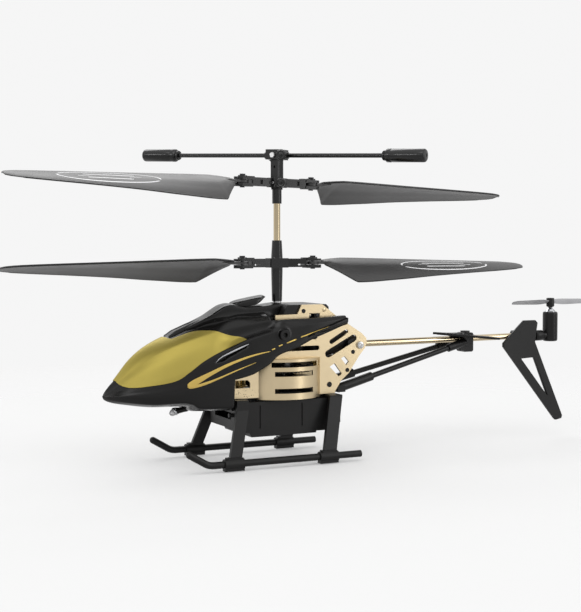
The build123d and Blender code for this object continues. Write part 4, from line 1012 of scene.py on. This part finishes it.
# tail propeller: broad twisted blades with rounded tips on a capped hub
TX, PZ = 115.1, 50.8
parts = []
prof = [(0.0, -12.2), (0.38, -12.2), (0.4, -2.2), (1.35, -1.75), (1.5, -1.6), (1.5, 1.25), (1.38, 1.45), (1.0, 1.52), (0.55, 1.5), (0.5, 1.1), (0.0, 1.1)]
v, f = turned(prof, 36)
make("tail_propeller_hub", place(v, Matrix.Translation((TX, 0, PZ))), f, "tail_propeller", "black", sharp=40)
for sgn in (1, -1):
    rings = []
    for i in range(30):
        r = 1.0 + 17.0 * i / 29
        c = table([(1.0, 1.8), (3.0, 3.0), (6.0, 4.0), (10.0, 4.2), (15.5, 4.2), (17.2, 3.9), (17.8, 3.2), (18.0, 2.2)], r)
        pitch = table([(1.0, 36), (5.0, 31), (10.0, 26), (18.0, 21)], r)
        off = table([(1.0, 0.0), (8.0, 0.35), (15.0, 0.35), (18.0, 0.0)], r)
        a = math.radians(pitch)
        ring = []
        for k in range(20):
            q = TAU * k / 20
            y, z = -0.5 * c * math.cos(q), 0.26 * math.sin(q) + 0.05 * c * (1 - math.cos(q) ** 2)
            ring.append((r, off + y * math.cos(a) - z * math.sin(a), y * math.sin(a) + z * math.cos(a)))
        rings.append(ring)
    v, f = loft(rings)
    parts.append((place(v, Matrix.Rotation(0 if sgn > 0 else math.pi, 4, "Z")), f))
v, f = join_parts(parts)
make("tail_propeller_skin", place(v, Matrix.Translation((TX, 0, PZ)) @ Matrix.Rotation(math.radians(4), 4, "Z")), f, "tail_propeller", "prop_grey", replaces=("tail_propeller",), sharp=40)

# ---------------------------------------------------------------------------------------------------
# details
# ---------------------------------------------------------------------------------------------------
# lamp under the nose: a clear domed lens in a bright ring, on a short dark neck
LD = Vector((-0.86, 0, -0.5)).normalized()
LP = Vector((-35.6, 0, 18.8))
m = along_axis(LP + LD * 1.2, LD)
v, f = turned([(0.0, 0.0), (1.1, 0.0), (1.15, 0.1), (1.15, 0.9), (1.12, 1.3), (1.02, 1.7), (0.82, 2.1), (0.52, 2.38), (0.25, 2.48), (0.0, 2.5)], 48)
make("lamp_lens", place(v, m), f, "airframe", "lens", replaces=("nose_led",), sharp=50)
v, f = revolve([(1.12, 0.35), (1.3, 0.3), (1.42, 0.42), (1.42, 0.78), (1.3, 0.9), (1.12, 0.85)], 48)
make("lamp_ring", place(v, m), f, "airframe", "chrome", sharp=60)
v, f = turned([(0.0, 0.35), (0.45, 0.35), (0.6, 0.9), (0.66, 1.25), (0.3, 0.95), (0.0, 0.9)], 32)
make("lamp_core", place(v, m), f, "airframe", "chrome", sharp=50)
rings = []
for i in range(9):
    u = i / 8
    c = LP + LD * 1.6 + Vector((4.4, 0, 0.25)) * u + Vector((0, 0, 0.6)) * u * u
    r = 1.25 - 0.25 * math.sin(math.pi * u) - 0.1 * u
    rings.append([(c.x, r * math.cos(TAU * k / 24), c.z + r * math.sin(TAU * k / 24)) for k in range(24)])
v, f = loft(rings)
make("lamp_neck", v, f, "airframe", "black", sharp=50)

# screw heads that show on the side plates
def cross_head(p, d, r, h, body, mat, nm):
    v, f = turned([(0.0, -0.3), (r * 0.9, -0.3), (r * 0.98, 0.0), (r, 0.12), (r, h * 0.55), (r * 0.9, h * 0.85), (r * 0.66, h), (r * 0.3, h * 1.02), (0.0, h * 1.02)], 36)
    mtx = along_axis(p, d)
    o = make(nm, place(v, mtx), f, body, mat, sharp=35)
    cutters = []
    for w in (0, 1):
        a, b = (r * 0.62, 0.15) if w == 0 else (0.15, r * 0.62)
        c = [[(sx * a, sy * b, z) for sx, sy in ((-1, -1), (1, -1), (1, 1), (-1, 1))] for z in (h * 0.45, h + 1)]
        cv_, cf_ = loft(c)
        cutters.append(scratch("cross", place(cv_, mtx), cf_))
    return cut(o, cutters)


for sd, side in ((-1, "left"), (1, "right")):
    y = sd * 9.85
    o = cross_head((26.7, y, 38.2), (0, sd, 0), 1.3, 0.85, "airframe", "steel", side + "_boom_screw")
    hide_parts("screws")
    # flush fastening in the plate's own colour, and small dark rivets
    v, f = turned([(0.0, -0.5), (0.72, -0.5), (0.74, -0.06), (0.7, -0.02), (0.0, -0.02)], 32)
    make(side + "_top_plug", place(v, along_axis((12.9, sd * 9.8, 50.6), (0, sd, 0))), f, "airframe", "gold_plate", sharp=50)
    for i, (x, z, r) in enumerate(((24.1, 35.9, 0.58), (21.9, 29.8, 0.58), (5.2, 50.3, 0.58), (15.0, 25.2, 0.73), (-16.9, 31.5, 0.73))):
        v, f = turned([(0.0, -0.9), (r * 0.9, -0.9), (r, -0.8), (r, 0.02), (r * 1.22, 0.04), (r * 1.26, 0.1), (r * 1.18, 0.16), (r * 0.5, 0.17), (r * 0.38, 0.08), (0.0, 0.08)], 28)
        make(side + "_plate_rivet_%d" % (i + 1), place(v, along_axis((x, sd * 9.8, z), (0, sd, 0))), f, "airframe", "black", sharp=40)
    # dark cheek of the boom holder behind the upper slots
    poly = [(12.8, 35.2), (13.3, 41.6), (14.0, 43.2), (17.6, 44.4), (21.6, 43.7), (25.8, 41.4), (27.6, 39.7), (27.9, 38.4), (27.3, 36.9), (24.0, 36.1), (18.2, 35.2)]
    rings = [[(lerp(x, 20.0, k), yy, lerp(z, 39.5, k)) for x, z in poly] for yy, k in ((sd * 6.6, 0.04), (sd * 6.7, 0.0), (sd * 7.35, 0.0), (sd * 7.45, 0.04))]
    v, f = loft(rings)
    make(side + "_holder_cheek", v, f, "airframe", "matte", sharp=35)

# tail motor: a slim can in its moulded cup, with the bright shaft bush on top
TAIL_X = 115.1
v, f = turned([(0.0, 35.9), (2.2, 35.9), (2.62, 36.1), (2.78, 36.5), (2.8, 37.0), (2.8, 46.0), (2.76, 46.6), (2.6, 46.95), (2.3, 47.05), (0.0, 47.05)], 56)
make("tail_motor_cup", [(x + TAIL_X, y, z) for x, y, z in v], f, "airframe", "black", replaces=("tail_motor_holder",), sharp=40)
v, f = turned([(0.0, 47.0), (2.2, 47.0), (2.2, 47.25), (1.9, 47.35), (1.75, 47.5), (1.6, 47.75), (1.05, 48.15), (0.85, 48.5), (0.62, 48.95), (0.0, 48.95)], 48)
make("tail_motor_bush", [(x + TAIL_X, y, z) for x, y, z in v], f, "airframe", "chrome", replaces=("tail_motor",), sharp=40)
rings = []
for x, ry, rz in ((97.4, 1.2, 2.4), (97.9, 1.6, 2.9), (105.6, 1.7, 2.9), (106.2, 1.65, 2.4)):
    ring = []
    for k in range(32):
        a = TAU * k / 32
        c, s = math.cos(a), math.sin(a)
        ring.append((x, 0.2 + ry * math.copysign(abs(c) ** 0.4, c), 37.5 + rz * math.copysign(abs(s) ** 0.4, s)))
    rings.append(ring)
parts = [loft(rings)]
rings = []
for x, r in ((106.0, 1.35), (107.5, 1.4), (107.7, 1.85), (108.0, 2.0), (110.9, 2.0), (111.2, 1.85), (111.4, 1.5), (112.6, 1.5)):
    rings.append([(x, r * math.cos(TAU * k / 32), 38.2 + r * math.sin(TAU * k / 32)) for k in range(32)])
parts.append(loft(rings))
v, f = join_parts(parts)
make("tail_motor_arm", v, f, "airframe", "black", sharp=40)


# a round tube swept along a smooth path through given points
def tube(points, r, n=12, sub=6):
    pts = []
    P = [Vector(p) for p in points]
    for i in range(len(P) - 1):
        p0, p1, p2, p3 = P[max(i - 1, 0)], P[i], P[i + 1], P[min(i + 2, len(P) - 1)]
        for k in range(sub):
            u = k / sub
            pts.append(Vector([catmull(p0[c], p1[c], p2[c], p3[c], u) for c in range(3)]))
    pts.append(P[-1])
    rings = []
    ref = Vector((0, 1, 0.2)).normalized()
    for i, p in enumerate(pts):
        d = (pts[min(i + 1, len(pts) - 1)] - pts[max(i - 1, 0)]).normalized()
        a = d.cross(ref).normalized()
        b = d.cross(a).normalized()
        rings.append([tuple(p + a * (r * math.cos(TAU * k / n)) + b * (r * math.sin(TAU * k / n))) for k in range(n)])
    return loft(rings)


# ---------------------------------------------------------------------------------------------------
# moulding and machining edges of the CAD parts
# ---------------------------------------------------------------------------------------------------
EDGE = {
    0.00022: ["battery_box", "front_left_leg", "front_right_leg", "rear_left_leg", "rear_right_leg", "boom_clamp", "tail_fin", "strut_bracket", "boom_holder"],
    0.00016: ["horizontal_stabilizer", "rotor_head", "lower_rotor_hub", "upper_blade_hub", "flybar", "near_link", "far_link", "motor_mount", "mast_block", "lower_deck", "battery_cover",
              "left_side_plate", "right_side_plate", "frame_spacers", "power_switch_body", "power_switch_slider"],
    0.0001: ["canopy_pegs", "upper_blade_screws", "lower_blade_screws", "teeter_pins", "charge_socket", "circuit_board"],
}
for w, names in EDGE.items():
    for nm in names:
        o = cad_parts[nm]
        modify(o, "WELD", merge_threshold=0.000002)
        modify(o, "DECIMATE", decimate_type="DISSOLVE", angle_limit=math.radians(0.6))
        modify(o, "BEVEL", width=w, segments=2, limit_method="ANGLE", angle_limit=math.radians(32), use_clamp_overlap=True, miter_outer="MITER_ARC")
        modify(o, "WEIGHTED_NORMAL", keep_sharp=True, weight=60)

# ---------------------------------------------------------------------------------------------------
# floor
# ---------------------------------------------------------------------------------------------------
fm = bpy.data.meshes.new("floor")
fm.from_pydata([(-6, -6, -0.0003), (6, -6, -0.0003), (6, 6, -0.0003), (-6, 6, -0.0003)], [], [(0, 1, 2, 3)])
floor = bpy.data.objects.new("floor", fm)
bpy.context.scene.collection.objects.link(floor)
kf = Mat("floor_white")
nf = kf.noise(3.0, 2.0, 0.5)
kf.link(kf.ramp(nf, [(0.3, (0.80, 0.80, 0.80)), (0.7, (0.82, 0.82, 0.82))]), kf.b.inputs["Base Color"])
kf.set(Roughness=0.9, Specular_IOR_Level=0.1)
sp = kf.node("ShaderNodeVectorMath")
sp.operation = "LENGTH"
kf.link(kf.coord.outputs["Object"], sp.inputs[0])
fade = kf.map_range(sp.outputs["Value"], 0.02, 0.36, 0.30, 1.0)
tr = kf.node("ShaderNodeBsdfTransparent")
mx = kf.node("ShaderNodeMixShader")
kf.link(fade, mx.inputs[0])
kf.link(kf.b.outputs[0], mx.inputs[1])
kf.link(tr.outputs[0], mx.inputs[2])
kf.link(mx.outputs[0], kf.n["Material Output"].inputs["Surface"])
fm.materials.append(kf.m)
